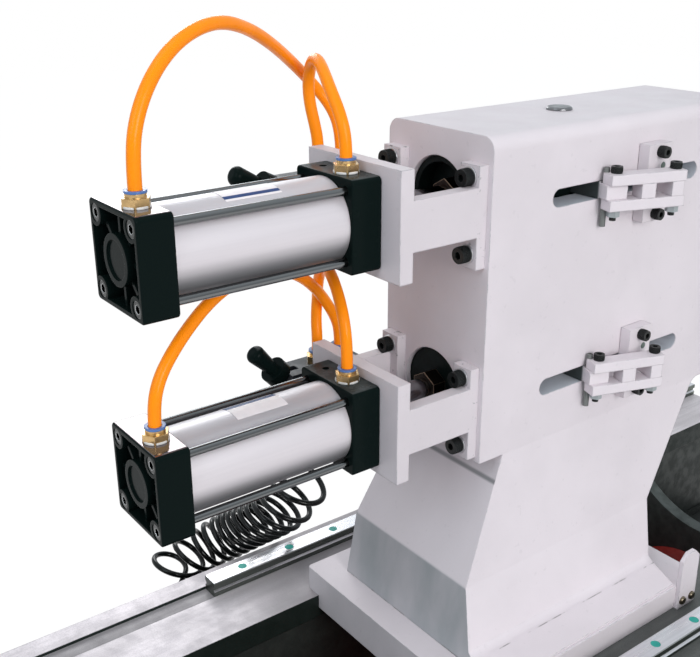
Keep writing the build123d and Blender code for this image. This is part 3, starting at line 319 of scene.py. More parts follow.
sky.links.new(scaled(sky, mirrored.outputs[0], 1, surround_light), strength.inputs[0])
sky.links.new(rays.outputs["Is Camera Ray"], strength.inputs[1])
sky.links.new(strength.outputs[0], surround.inputs["Strength"])
print("floor and surround set")

# %% [markdown]
# Four round area lamps stand for a studio: a key beside the camera, a weak one overhead, one
# behind that draws bright lines along the barrels, and a cooler fill. Sun lamps would be
# simpler, but their shadows are hard, and a studio's are soft.

# %% Lamps
def lamp(name, place, aim, size, watts, tint=(1, 1, 1)):
    data = bpy.data.lights.new(name, "AREA")
    data.shape = "DISK"
    data.size = size
    data.energy = watts
    data.color = tint
    obj = add_object(name, data)
    obj.location = place
    obj.visible_camera = False
    obj.rotation_euler = (Vector(aim) - Vector(place)).to_track_quat("-Z", "Y").to_euler()


lamp("key_lamp", (-0.5, -3.0, 1.6), (-0.1, 0, 0.4), 1.6, 58)
lamp("top_lamp", (-0.6, 0.0, 2.9), (0, 0, 0.4), 1.6, 6)
lamp("back_lamp", (0.75, 2.6, 1.6), (-0.38, 0, 0.58), 1.2, 19)
lamp("fill_lamp", (-2.3, -0.5, 2.1), (0, 0, 0.4), 1.6, 18, (0.84, 0.94, 1))
print("lamps", [light.name for light in bpy.data.lights])

# %% [markdown]
# ## Finishes
# Every finish is built from noise on Object coordinates, so a pattern stays with its piece
# when the piece moves. The helpers below each add one effect to a shader: a second tone in
# soft clouds, a change of gloss, a fine bump, and edges that look rounded by the Bevel node,
# because the solids arrive as loose triangles that a bevel modifier can't round.

# %% Finish helpers
def place_of(tree):
    for node in tree.nodes:
        if node.bl_idname == "ShaderNodeTexCoord":
            return node.outputs["Object"]
    return tree.nodes.new("ShaderNodeTexCoord").outputs["Object"]


def clouds(tree, scale, detail=3.0, stretch=(1, 1, 1), roughness=0.55):
    mapping = tree.nodes.new("ShaderNodeMapping")
    mapping.inputs["Scale"].default_value = stretch
    tree.links.new(place_of(tree), mapping.inputs["Vector"])
    noise = tree.nodes.new("ShaderNodeTexNoise")
    noise.inputs["Scale"].default_value = scale
    noise.inputs["Detail"].default_value = detail
    noise.inputs["Roughness"].default_value = roughness
    tree.links.new(mapping.outputs[0], noise.inputs["Vector"])
    return noise.outputs["Fac"]


def between(tree, value, start, end, low=0.0, high=1.0):
    node = tree.nodes.new("ShaderNodeMapRange")
    node.interpolation_type = "SMOOTHSTEP"
    tree.links.new(value, node.inputs["Value"])
    for label, number in (("From Min", start), ("From Max", end), ("To Min", low), ("To Max", high)):
        node.inputs[label].default_value = number
    return node.outputs["Result"]


def combine(tree, first, second, operation="MULTIPLY"):
    node = tree.nodes.new("ShaderNodeMath")
    node.operation = operation
    tree.links.new(first, node.inputs[0])
    tree.links.new(second, node.inputs[1])
    return node.outputs[0]


def window(tree, value, rise, fall):
    """One between a rise and a fall, each given by the two values it runs between."""
    return combine(tree, between(tree, value, *rise), between(tree, value, *fall, 1, 0))


def two_tones(tree, share, first, second):
    """Mix two colours, each a written colour or the output of an earlier mix."""
    node = tree.nodes.new("ShaderNodeMix")
    node.data_type = "RGBA"
    tree.links.new(share, node.inputs["Factor"])
    for socket, tone in ((node.inputs[6], first), (node.inputs[7], second)):
        if isinstance(tone, tuple):
            socket.default_value = (*tone, 1)
        else:
            tree.links.new(tone, socket)
    return node.outputs[2]


def along(tree, axis, of_normal=False):
    """One coordinate of the place on the piece, or of the way its face looks."""
    split = tree.nodes.new("ShaderNodeSeparateXYZ")
    source = tree.nodes.new("ShaderNodeNewGeometry").outputs["Normal"] if of_normal else place_of(tree)
    tree.links.new(source, split.inputs[0])
    return split.outputs[axis]


def sideways(tree):
    """How far a face looks across the bed, squared so that both sides count alike."""
    across = along(tree, "Y", True)
    return combine(tree, across, across)


def relief(tree, shader, height, depth, edge=0.0):
    bump = tree.nodes.new("ShaderNodeBump")
    bump.inputs["Distance"].default_value = depth
    tree.links.new(height, bump.inputs["Height"])
    if edge:
        rounding = tree.nodes.new("ShaderNodeBevel")
        rounding.samples = 6
        rounding.inputs["Radius"].default_value = edge
        tree.links.new(rounding.outputs[0], bump.inputs["Normal"])
    tree.links.new(bump.outputs[0], shader.inputs["Normal"])


def edge_wear_and_highlight(tree, radius):
    """Where the face turns away within a small radius: the edges of the piece, from 0 to 1."""
    rounding = tree.nodes.new("ShaderNodeBevel")
    rounding.samples = 6
    rounding.inputs["Radius"].default_value = radius
    turned = tree.nodes.new("ShaderNodeVectorMath")
    turned.operation = "DOT_PRODUCT"
    tree.links.new(rounding.outputs[0], turned.inputs[0])
    tree.links.new(tree.nodes.new("ShaderNodeNewGeometry").outputs["Normal"], turned.inputs[1])
    return between(tree, turned.outputs["Value"], 0.86, 0.985, 1, 0)


def darker(colour, share):
    return tuple(channel * share for channel in colour)


finishes = {}
print("finish helpers ready")

# %% [markdown]
# ### Paint
# The castings wear a warm white machine enamel, brushed or sprayed over rough iron. Its skin
# has a fine orange peel, slow patches where the coat is thinner, rubbed edges and some grime,
# and a patchy grey is painted as shade on the low faces at the back. One function makes the
# enamel, and the base, the head, the brackets and the keys each get their own marks on it.

# %% White enamel
def enamel(name, colour, gloss=0.36, edge=0.0016):
    material, tree, shader = new_finish(name)
    patches = between(tree, clouds(tree, 9, 4), 0.35, 0.7)
    tone = two_tones(tree, patches, colour, darker(colour, 0.93))
    specks = between(tree, clouds(tree, 160, 2), 0.66, 0.74, 0, 0.3)
    tone = two_tones(tree, specks, tone, darker(colour, 0.8))
    rubbed = combine(tree, edge_wear_and_highlight(tree, 0.0012), between(tree, clouds(tree, 75, 4), 0.5, 0.62, 0, 0.75))
    tone = two_tones(tree, rubbed, tone, (0.33, 0.34, 0.36))
    tree.links.new(tone, shader.inputs["Base Color"])
    dull = between(tree, clouds(tree, 30, 3), 0.3, 0.7, gloss, gloss + 0.16)
    tree.links.new(dull, shader.inputs["Roughness"])
    shader.inputs["Specular IOR Level"].default_value = 0.4
    relief(tree, shader, clouds(tree, 420, 2), 0.00012, edge)
    finishes[name] = material
    return tree, shader, tone


def low_back_shade(tree, tone, top, strongest):
    """Painted shade: a patchy grey on the low faces that look back along the bed."""
    looks_back = between(tree, along(tree, "X", True), -0.9, -0.75, 1, 0)
    low_down = between(tree, along(tree, "Z"), top - 0.002, top + 0.002, 1, 0)
    uneven_shade = between(tree, clouds(tree, 16, 4, (1, 1, 0.35)), 0.3, 0.7, strongest * 0.55, strongest)
    shade_amount = combine(tree, combine(tree, looks_back, low_down), uneven_shade)
    return two_tones(tree, shade_amount, tone, (0.27, 0.30, 0.315))


warm_white = (0.74, 0.675, 0.71)
enamel("white_paint", warm_white)
tree, shader, tone = enamel("base_paint", warm_white)
# The base's low faces that look back take the painted shade.
tree.links.new(low_back_shade(tree, tone, 0.230, 0.35), shader.inputs["Base Color"])
print("enamels", list(finishes))

# %% [markdown]
# The head shows a painted shadow in the corner under its overhang, a ragged line where it
# stands on the base, and darker walls inside its slots. Heights and depths pick these places out.

# %% Head paint
tree, shader, tone = enamel("head_paint", warm_white)
# The head's low faces that look back take the painted shade too.
tone = low_back_shade(tree, tone, 0.287, 0.85)
height = along(tree, "Z")
out = along(tree, "Y")
# Painted shadow: a dark band on the back faces just under the head's overhang.
corner_start = between(tree, height, 0.3722, 0.3748)
corner_end = between(tree, height, 0.3760, 0.3785, 1, 0.2)
overhang_shadow = combine(tree, corner_start, corner_end)
overhang_shadow = combine(tree, overhang_shadow, between(tree, height, 0.390, 0.394, 0.75, 0))
overhang_shadow = combine(tree, overhang_shadow, between(tree, along(tree, "X", True), -0.5, -0.3, 1, 0))
tone = two_tones(tree, overhang_shadow, tone, (0.11, 0.12, 0.125))
end_line = window(tree, height, (0.2150, 0.2161), (0.2166, 0.2176))
end_line = combine(tree, end_line, between(tree, along(tree, "X"), -0.128, -0.124, 1, 0))
front_line = window(tree, out, (-0.1050, -0.1043), (-0.1038, -0.1033))
joint_line = combine(tree, end_line, front_line, "MAXIMUM")
ragged = between(tree, clouds(tree, 55, 4), 0.48, 0.64, 0, 0.7)
tone = two_tones(tree, combine(tree, joint_line, ragged), tone, (0.16, 0.15, 0.145))
inside = between(tree, out, -0.0648, -0.0640)
across_slot = between(tree, sideways(tree), 0.2, 0.4, 1, 0)
past_end = between(tree, along(tree, "X"), -0.050, -0.045)
slot_wall = combine(tree, combine(tree, inside, across_slot), past_end)
slot_wall = combine(tree, slot_wall, window(tree, height, (0.438, 0.440), (0.660, 0.670)))
tone = two_tones(tree, slot_wall, tone, (0.60, 0.62, 0.67))
tree.links.new(tone, shader.inputs["Base Color"])
print("head paint ready")

# %% [markdown]
# Spanners chip the paint along the front edge of the brackets, and each key turns dark
# inside its slot. Both could be painted by hand on a UV map, but one coordinate already
# tells where they begin, and it stays exact.

# %% Bracket and key paint
# Painted shade: the brackets take the white enamel 5 % darker, a shaded copy of the head's paint.
tree, shader, tone = enamel("bracket_paint", darker(warm_white, 0.95))
front_edge = between(tree, along(tree, "X"), -0.114, -0.1125)
chips = combine(tree, front_edge, between(tree, clouds(tree, 150, 4), 0.62, 0.68, 0, 0.8))
tree.links.new(two_tones(tree, chips, tone, (0.22, 0.22, 0.23)), shader.inputs["Base Color"])

tree, shader, tone = enamel("key_paint", warm_white)
# Each key turns near black inside its slot.
in_slot = between(tree, along(tree, "Y"), -0.0675, -0.0645)
tree.links.new(two_tones(tree, in_slot, tone, (0.05, 0.06, 0.06)), shader.inputs["Base Color"])
print("enamels", list(finishes))

# %% [markdown]
# ### The bed
# The bed is painted dark, with the slab faces that look across the bed darker still, and its
# ways are ground bright on top. The same material serves both: the way a face looks and its height tell
# ground iron from paint.
# A painted shadow of the tailstock darkens the rear way beside the base.

# %% Bed paint and ground ways
way_top = 0.190


def bed_finish(name, wall, ways, base_shadow_strength=0.0):
    material, tree, shader = new_finish(name)
    height = along(tree, "Z")
    grain = between(tree, clouds(tree, 60, 5), 0.3, 0.7)
    tone = two_tones(tree, grain, wall, darker(wall, 0.6))
    # The slab faces that look across the bed take a near-black tone.
    slab = combine(tree, between(tree, height, 0.1615, 0.1635), between(tree, sideways(tree), 0.7, 0.9))
    tone = two_tones(tree, slab, tone, (0.006, 0.012, 0.010))
    facing_up = between(tree, along(tree, "Z", True), 0.85, 0.95)
    ground = combine(tree, facing_up, between(tree, height, way_top - 0.002, way_top - 0.001))
    scratches = between(tree, clouds(tree, 90, 4, (0.05, 1, 1)), 0.35, 0.65)
    iron = two_tones(tree, scratches, ways, darker(ways, 0.82))
    stain = between(tree, clouds(tree, 14, 5), 0.42, 0.62, 0, 0.35)
    iron = two_tones(tree, stain, iron, darker(ways, 0.62))
    grit = between(tree, clouds(tree, 700, 2), 0.4, 0.62, 0, 0.25)
    iron = two_tones(tree, grit, iron, darker(ways, 0.5))
    # Painted shadow: the rear way's ground top is darker beside the base, where the tailstock shades it.
    beside_base = window(tree, along(tree, "X"), (-0.270, -0.175), (0.0, 0.05))
    iron = two_tones(tree, scaled(tree, beside_base, base_shadow_strength), iron, darker(ways, 0.4))
    tree.links.new(two_tones(tree, ground, tone, iron), shader.inputs["Base Color"])
    tree.links.new(scaled(tree, ground, 0.35), shader.inputs["Metallic"])
    tree.links.new(between(tree, grain, 0, 1, 0.45, 0.6), shader.inputs["Roughness"])
    shader.inputs["Specular IOR Level"].default_value = 0.3
    relief(tree, shader, clouds(tree, 300, 3), 0.0002, 0.0015)
    finishes[name] = material


bed_dark = (0.030, 0.037, 0.034)
bed_finish("bed_paint", bed_dark, (0.755, 0.70, 0.73), base_shadow_strength=0.7)
bed_finish("front_bed_paint", bed_dark, (0.15, 0.155, 0.15))
bed_finish("rib_paint", (0.085, 0.10, 0.096), (0.5, 0.5, 0.52))
print("bed finishes", len(finishes))

# %% [markdown]
# The tray is sheet steel under a thin red primer. Further along the bed it lies in shade, which
# is painted here as a dark tone that takes over from the primer within a few centimetres.

# %% Chip tray
material, tree, shader = new_finish("tray_primer")
thin_coat = between(tree, clouds(tree, 25, 5), 0.35, 0.65)
primer = two_tones(tree, thin_coat, (0.48, 0.012, 0.004), (0.30, 0.010, 0.004))
# Painted shade: past X = 0.45 m the tray turns near black.
far_shade = between(tree, along(tree, "X"), 0.450, 0.480)
tree.links.new(two_tones(tree, far_shade, primer, (0.016, 0.019, 0.017)), shader.inputs["Base Color"])
tree.links.new(between(tree, clouds(tree, 80, 3), 0.3, 0.7, 0.5, 0.75), shader.inputs["Roughness"])
relief(tree, shader, clouds(tree, 200, 3), 0.0002)
finishes["tray_primer"] = material
print("tray ready")

# %% [markdown]
# ### Metals
# Machined metal shows how it was made: streaks run along a drawn tube, a ground rail or a
# quill, and a cast or plated piece has an even grain. A noise stretched hard along one axis
# gives the streaks, in the gloss more than in the colour, and every metal uses the one
# function.

# %% Machined metals
def machined(name, colour, gloss, stretch=(1, 1, 1), scale=200, metallic=1.0, spread=0.12,
             edge=0.0006, worn=0.85, level=0.5):
    material, tree, shader = new_finish(name)
    streaks = between(tree, clouds(tree, scale, 3, stretch), 0.3, 0.7)
    tone = two_tones(tree, streaks, colour, darker(colour, worn))
    tree.links.new(tone, shader.inputs["Base Color"])
    tree.links.new(between(tree, streaks, 0, 1, gloss, gloss + spread), shader.inputs["Roughness"])
    shader.inputs["Metallic"].default_value = metallic
    shader.inputs["Specular IOR Level"].default_value = level
    relief(tree, shader, streaks, 0.00003, edge)
    finishes[name] = material
    return tree, shader, tone


drawn = (0.02, 1, 1)
honed = (0.05, 1, 1)
even = (1, 1, 1)
machined("chrome", (0.30, 0.30, 0.31), 0.07, drawn, 300, spread=0.06)
machined("dome_bronze", (0.20, 0.165, 0.12), 0.26, even, 90, worn=0.6)
machined("plain_steel", (0.58, 0.58, 0.60), 0.28, even, 150)
machined("plug_steel", (0.22, 0.22, 0.23), 0.3, even, 120)
machined("brass", (0.70, 0.47, 0.22), 0.24, even, 90, worn=0.78)
machined("bronze", (0.50, 0.33, 0.15), 0.36, honed, 160, worn=0.8)
print("plain metals", len(finishes))

# %% [markdown]
# Some metals carry marks of their own. The barrels have painted shade underneath and along the
# top, the nuts at the rear end of the tie rods are black with painted highlights on their rims,
# the lock nuts have painted glints along their edges, and the rails are bright on top and dark
# down their sides. The way a face looks, its place or its edges pick each mark out.

# %% Barrels, tie rods, nuts and rails
tree, shader, tone = machined("barrel_aluminium", (0.70, 0.65, 0.68), 0.36, drawn, 260,
                              metallic=0.3, spread=0.05, worn=0.96)
facing_up = along(tree, "Z", True)
# Painted shade: faces that look down turn dark grey, and faces that look up turn a duller grey.
tone = two_tones(tree, between(tree, facing_up, -0.55, 0.0, 0.9, 0), tone, (0.14, 0.14, 0.145))
tone = two_tones(tree, between(tree, facing_up, 0.55, 0.95, 0, 0.45), tone, (0.42, 0.43, 0.47))
tree.links.new(tone, shader.inputs["Base Color"])

tree, shader, tone = machined("tie_rod_steel", (0.19, 0.195, 0.20), 0.12, drawn, 300, spread=0.1)
rear_end = between(tree, along(tree, "X"), -0.372, -0.368, 1, 0)
# Painted highlight: the rims of the rear nuts are pale, standing for the light they catch.
nut_rim_highlight = two_tones(tree, edge_wear_and_highlight(tree, 0.0011), (0.030, 0.033, 0.033), (0.62, 0.64, 0.65))
tree.links.new(two_tones(tree, rear_end, tone, nut_rim_highlight), shader.inputs["Base Color"])

tree, shader, tone = machined("nut_bronze", (0.045, 0.036, 0.03), 0.3, even, 90, worn=0.6)
# Painted glints: the edges of the lock nuts are pale bronze.
tone = two_tones(tree, edge_wear_and_highlight(tree, 0.0016), tone, (0.50, 0.38, 0.28))
tree.links.new(tone, shader.inputs["Base Color"])

tree, shader, tone = machined("rail_steel", (0.75, 0.74, 0.77), 0.26, drawn, 260)
facing_up = between(tree, along(tree, "Z", True), 0.6, 0.9)
# Faces that don't look up take a dark grey, so the rails are dark down their sides.
tree.links.new(two_tones(tree, facing_up, (0.13, 0.145, 0.13), tone), shader.inputs["Base Color"])
print("marked metals", len(finishes))

# %% [markdown]
# Screws, quills and yoke bolts are blackened, and a black oxide hides the metal under it, so
# these are dark and not metallic. The quills lie deep in their bores and shine least. On the
# yoke bolts the nuts and the back of the dowel are brighter, found by their height or place.

# %% Blackened steel
axis_heights = {"upper": 0.6265, "lower": 0.4515}
oxide = {"metallic": 0.0, "worn": 0.6}
machined("black_steel", (0.008, 0.010, 0.010), 0.34, even, 120, level=0.25, **oxide)
machined("quill_steel", (0.005, 0.010, 0.0095), 0.34, honed, 130, level=0.1, **oxide)
tree, shader, tone = machined("yoke_bolt_steel", (0.010, 0.012, 0.012), 0.34, even, 120, level=0.3, **oxide)
height = along(tree, "Z")
nuts = [window(tree, height, (z - 0.0227, z - 0.0224), (z - 0.0161, z - 0.0158))
        for z in axis_heights.values()]
tone = two_tones(tree, combine(tree, nuts[0], nuts[1], "ADD"), tone, (0.34, 0.37, 0.38))
inward = between(tree, along(tree, "Y"), -0.0725, -0.0718)
pin = combine(tree, inward, between(tree, along(tree, "X"), 0.0312, 0.0318, 1, 0))
tree.links.new(two_tones(tree, pin, tone, (0.16, 0.165, 0.16)), shader.inputs["Base Color"])
print("metals ready", len(finishes))

# %% [markdown]
# ### Plastics, gloss paint and hose
# The caps are cast and sprayed gloss black, the release rings are moulded, and the hoses are
# extruded, so each one is smooth with faint waves. A trace of emission makes the orange hose
# glow, painted light that lifts it above what the lamps give.

# %% Smooth finishes
def smooth(name, colour, gloss, level=0.5, wave=40, depth=0.00005, edge=0.0008, worn=0.8):
    material, tree, shader = new_finish(name)
    waves = between(tree, clouds(tree, wave, 3), 0.3, 0.7)
    tree.links.new(two_tones(tree, waves, colour, darker(colour, worn)), shader.inputs["Base Color"])
    tree.links.new(between(tree, waves, 0, 1, gloss, gloss + 0.12), shader.inputs["Roughness"])
    shader.inputs["Specular IOR Level"].default_value = level
    relief(tree, shader, clouds(tree, wave * 8, 2), depth, edge)
    finishes[name] = material
    return tree, shader


smooth("blue_plastic", (0.09, 0.19, 0.48), 0.3, 0.5, 80)
smooth("cap_teal", (0.015, 0.36, 0.30), 0.35, 0.4, 90)
smooth("valve_slate", (0.030, 0.035, 0.045), 0.4, 0.35, 80)
smooth("seal_white", (0.74, 0.72, 0.70), 0.5, 0.4, 90)
smooth("plug_green", (0.12, 0.16, 0.14), 0.4, 0.35, 120)
smooth("black_hose", (0.003, 0.004, 0.004), 0.1, 0.22, 30, edge=0)
tree, shader = smooth("orange_hose", (1.0, 0.275, 0.006), 0.22, 0.15, 30, edge=0, worn=0.92)
# Painted light: the orange hose glows faintly.
shader.inputs["Emission Color"].default_value = (1.0, 0.2, 0.0, 1)
shader.inputs["Emission Strength"].default_value = 0.12
print("smooth finishes", len(finishes))

# %% [markdown]
# The front caps are dusty on top, a grey that also stands as a painted sheen, and the rear
# ones polished there. A coat of clear over the base would suit both, but a low specular level
# keeps them as deep a black as they are. Only faces that look up, at the height of a cap's
# top, take the polish.

# %% Gloss black caps
gloss_black = (0.004, 0.0085, 0.008)
cap_half = 0.0375
tree, shader = smooth("black_gloss", gloss_black, 0.16, 0.03, 60, 0.00006)
# Dust and painted sheen: faces that look up turn grey in clouds.
dust_and_sheen = combine(tree, between(tree, along(tree, "Z", True), 0.8, 0.97),
               between(tree, clouds(tree, 35, 4), 0.3, 0.65, 0.25, 1))
tree.links.new(two_tones(tree, dust_and_sheen, gloss_black, (0.075, 0.082, 0.082)), shader.inputs["Base Color"])

tree, shader = smooth("polished_cap", gloss_black, 0.16, 0.03, 60, 0.00006)
height = along(tree, "Z")
tops = []
for z in axis_heights.values():
    top = z + cap_half
    tops.append(window(tree, height, (top - 0.0010, top - 0.0006), (top + 0.0006, top + 0.0010)))
cap_top = combine(tree, tops[0], tops[1], "MAXIMUM")
cap_top = combine(tree, cap_top, between(tree, along(tree, "Z", True), 0.9, 0.98))
tree.links.new(two_tones(tree, cap_top, gloss_black, (0.20, 0.172, 0.180)), shader.inputs["Base Color"])
tree.links.new(scaled(tree, cap_top, 0.92), shader.inputs["Metallic"])
tree.links.new(between(tree, cap_top, 0, 1, 0.2, 0.1), shader.inputs["Roughness"])
print("finishes", len(finishes))

# %% [markdown]
# ## Small parts that repeat
# Socket screws have a knurled rim, and the fittings and screws sit on washers. One tree of
# geometry nodes makes a plain ring, another makes a knurl of ridges round a head. Both
# take a cloud of points, one for each place, and set their ring there along a given axis.

# %% Geometry node helpers
def geometry_tree(name, inputs):
    tree = bpy.data.node_groups.new(name, "GeometryNodeTree")
    face = tree.interface
    face.new_socket("Geometry", in_out="INPUT", socket_type="NodeSocketGeometry")
    for label, kind, value in inputs:
        socket = face.new_socket(label, in_out="INPUT", socket_type=kind)
        if value is not None:
            socket.default_value = value
    face.new_socket("Geometry", in_out="OUTPUT", socket_type="NodeSocketGeometry")
    return tree, tree.nodes.new("NodeGroupInput"), tree.nodes.new("NodeGroupOutput")


def place_on_points(tree, start, end, shape):
    """Set a shape on every point, turned to the Axis input, and finish it as real faces."""
    turn = tree.nodes.new("FunctionNodeAlignRotationToVector")
    turn.axis = "Z"
    tree.links.new(start.outputs["Axis"], turn.inputs["Vector"])
    spread = tree.nodes.new("GeometryNodeInstanceOnPoints")
    tree.links.new(start.outputs["Geometry"], spread.inputs["Points"])
    tree.links.new(shape, spread.inputs["Instance"])
    tree.links.new(turn.outputs["Rotation"], spread.inputs["Rotation"])
    real = tree.nodes.new("GeometryNodeRealizeInstances")
    tree.links.new(spread.outputs["Instances"], real.inputs[0])
    paint = tree.nodes.new("GeometryNodeSetMaterial")
    tree.links.new(real.outputs[0], paint.inputs["Geometry"])
    tree.links.new(start.outputs["Finish"], paint.inputs["Material"])
    tree.links.new(paint.outputs[0], end.inputs[0])


def grow(name, tree, places, **sizes):
    """Run a tree on a list of places and return the result as a plain mesh object."""
    cloud = bpy.data.meshes.new(name)
    cloud.from_pydata([Vector(place) for place in places], [], [])
    seedbed = add_object(f"{name}_points", cloud)
    modifier = seedbed.modifiers.new("grow", "NODES")
    modifier.node_group = tree
    for item in tree.interface.items_tree:
        if item.in_out == "INPUT" and item.name in sizes:
            modifier[item.identifier] = sizes[item.name]
    mesh = evaluated_mesh(seedbed)
    bpy.data.objects.remove(seedbed)
    mesh.name = name
    piece = add_object(name, mesh)
    print(name, "places", len(places), "faces", len(mesh.polygons))
    return piece


print("helpers ready")

# %% [markdown]
# The ring is a rectangle with rounded corners, swept round a circle. A cylinder with a hole
# cut in it would need a boolean, and its edges would be sharp.

# %% Ring tree
ring_inputs = [("Inner radius", "NodeSocketFloat", 0.004), ("Outer radius", "NodeSocketFloat", 0.008),
               ("Thickness", "NodeSocketFloat", 0.0016), ("Axis", "NodeSocketVector", (0, 0, 1)),
               ("Finish", "NodeSocketMaterial", None)]
ring_tree, ring_start, ring_end = geometry_tree("plain_ring", ring_inputs)


def ring_node(kind, operation=None):
    node = ring_tree.nodes.new(kind)
    if operation:
        node.operation = operation
    return node


width = ring_node("ShaderNodeMath", "SUBTRACT")
ring_tree.links.new(ring_start.outputs["Outer radius"], width.inputs[0])
ring_tree.links.new(ring_start.outputs["Inner radius"], width.inputs[1])
both = ring_node("ShaderNodeMath", "ADD")
ring_tree.links.new(ring_start.outputs["Outer radius"], both.inputs[0])
ring_tree.links.new(ring_start.outputs["Inner radius"], both.inputs[1])
middle = ring_node("ShaderNodeMath", "MULTIPLY")
ring_tree.links.new(both.outputs[0], middle.inputs[0])
middle.inputs[1].default_value = 0.5
circle = ring_node("GeometryNodeCurvePrimitiveCircle")
circle.inputs["Resolution"].default_value = 48
ring_tree.links.new(middle.outputs[0], circle.inputs["Radius"])
upright = ring_node("GeometryNodeSetCurveNormal")
upright.mode = "Z_UP"
ring_tree.links.new(circle.outputs["Curve"], upright.inputs["Curve"])
section = ring_node("GeometryNodeCurvePrimitiveQuadrilateral")
ring_tree.links.new(width.outputs[0], section.inputs["Width"])
ring_tree.links.new(ring_start.outputs["Thickness"], section.inputs["Height"])
bead = ring_node("GeometryNodeFilletCurve")
bead.mode = "POLY"
bead.inputs["Count"].default_value = 2
bead.inputs["Limit Radius"].default_value = True
bead.inputs["Radius"].default_value = 0.0003
ring_tree.links.new(section.outputs["Curve"], bead.inputs["Curve"])
swept = ring_node("GeometryNodeCurveToMesh")
ring_tree.links.new(upright.outputs["Curve"], swept.inputs["Curve"])
ring_tree.links.new(bead.outputs["Curve"], swept.inputs["Profile Curve"])
place_on_points(ring_tree, ring_start, ring_end, swept.outputs["Mesh"])
print("ring tree nodes", len(ring_tree.nodes))

# %% [markdown]
# The knurl is a circle of small four-sided rods, sunk to half their depth in the screw's
# head. Each rod has few faces, because there are dozens on every screw.

# %% Knurl tree
knurl_inputs = [("Radius", "NodeSocketFloat", 0.0065), ("Length", "NodeSocketFloat", 0.006),
                ("Ridges", "NodeSocketInt", 40), ("Depth", "NodeSocketFloat", 0.0003),
                ("Axis", "NodeSocketVector", (0, 0, 1)), ("Finish", "NodeSocketMaterial", None)]
knurl_tree, knurl_start, knurl_end = geometry_tree("screw_knurl", knurl_inputs)
rim = knurl_tree.nodes.new("GeometryNodeMeshCircle")
knurl_tree.links.new(knurl_start.outputs["Ridges"], rim.inputs["Vertices"])
knurl_tree.links.new(knurl_start.outputs["Radius"], rim.inputs["Radius"])
ridge = knurl_tree.nodes.new("GeometryNodeMeshCylinder")
ridge.inputs["Vertices"].default_value = 4
ridge.inputs["Side Segments"].default_value = 1
knurl_tree.links.new(knurl_start.outputs["Depth"], ridge.inputs["Radius"])
knurl_tree.links.new(knurl_start.outputs["Length"], ridge.inputs["Depth"])
ridges = knurl_tree.nodes.new("GeometryNodeInstanceOnPoints")
knurl_tree.links.new(rim.outputs["Mesh"], ridges.inputs["Points"])
knurl_tree.links.new(ridge.outputs["Mesh"], ridges.inputs["Instance"])
place_on_points(knurl_tree, knurl_start, knurl_end, ridges.outputs["Instances"])
print("knurl tree nodes", len(knurl_tree.nodes))

# %% [markdown]
# ### Where they go
# A seal shows as a white rim under each fitting of the air cylinders, and a washer under each
# screw of the brackets. The knurl lies round the heads of those screws, and round the bolts
# that hold each yoke. What moves with a quill is grown apart from what stays on the head.

# %% Washers and knurls
port_places = [(x, -0.0105, z + 0.0384) for z in axis_heights.values() for x in (-0.381, -0.206)]
bracket_screws = [(-0.1128, y, z + dz) for z in axis_heights.values()
                  for y in (-0.049, 0.049) for dz in (-0.036, 0.028)]
grown = [
    (grow("port_seals", ring_tree, port_places, **{
        "Inner radius": 0.0075, "Outer radius": 0.0102, "Thickness": 0.0018, "Axis": (0, 0, 1),
        "Finish": finishes["seal_white"]}), "tailstock", "white_paint"),
    (grow("bracket_washers", ring_tree, bracket_screws, **{
        "Inner radius": 0.0045, "Outer radius": 0.0085, "Thickness": 0.0016, "Axis": (1, 0, 0),
        "Finish": finishes["plain_steel"]}), "tailstock", "plain_steel"),
    (grow("bracket_knurls", knurl_tree, [(-0.117, y, z) for _, y, z in bracket_screws], **{
        "Radius": 0.007, "Length": 0.007, "Ridges": 40, "Depth": 0.0003, "Axis": (1, 0, 0),
        "Finish": finishes["black_steel"]}), "tailstock", "black_steel"),
]
for name, z in axis_heights.items():
    grown.append((grow(f"{name}_guide_plug", ring_tree, [(0.1003, -0.0757, z + 0.014)], **{
        "Inner radius": 0.0001, "Outer radius": 0.0032, "Thickness": 0.0016, "Axis": (0, 1, 0),
        "Finish": finishes["plug_green"]}), f"{name}_quill", "black_steel"))
    heads = [(x, y, z + 0.019) for x, y in ((0.035, -0.077), (0.0913, -0.0964))]
    grown.append((grow(f"{name}_yoke_knurls", knurl_tree, heads, **{
        "Radius": 0.005, "Length": 0.004, "Ridges": 32, "Depth": 0.00025, "Axis": (0, 0, 1),
        "Finish": finishes["black_steel"]}), f"{name}_quill", "black_steel"))
    heads = [(0.09425, -0.0805, z + dz) for dz in (0.0275, -0.029)]
    grown.append((grow(f"{name}_guide_knurls", knurl_tree, heads, **{
        "Radius": 0.00525, "Length": 0.005, "Ridges": 32, "Depth": 0.00025, "Axis": (0, 1, 0),
        "Finish": finishes["black_steel"]}), f"{name}_quill", "black_steel"))
for piece, body, slot in grown:
    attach(piece, body)
    low = [min(v.co[i] for v in piece.data.vertices) for i in range(3)]
    high = [max(v.co[i] for v in piece.data.vertices) for i in range(3)]
    print(piece.name, [round(v, 4) for v in low], [round(v, 4) for v in high])

# %% [markdown]
# ## Labels
# Each air cylinder carries a small foil label on top of its barrel. It is left bare here, with
# only a plain blue band. A flat plate would cut the round barrel, so the label is a thin shell
# that follows it, made of two curved skins joined all round.

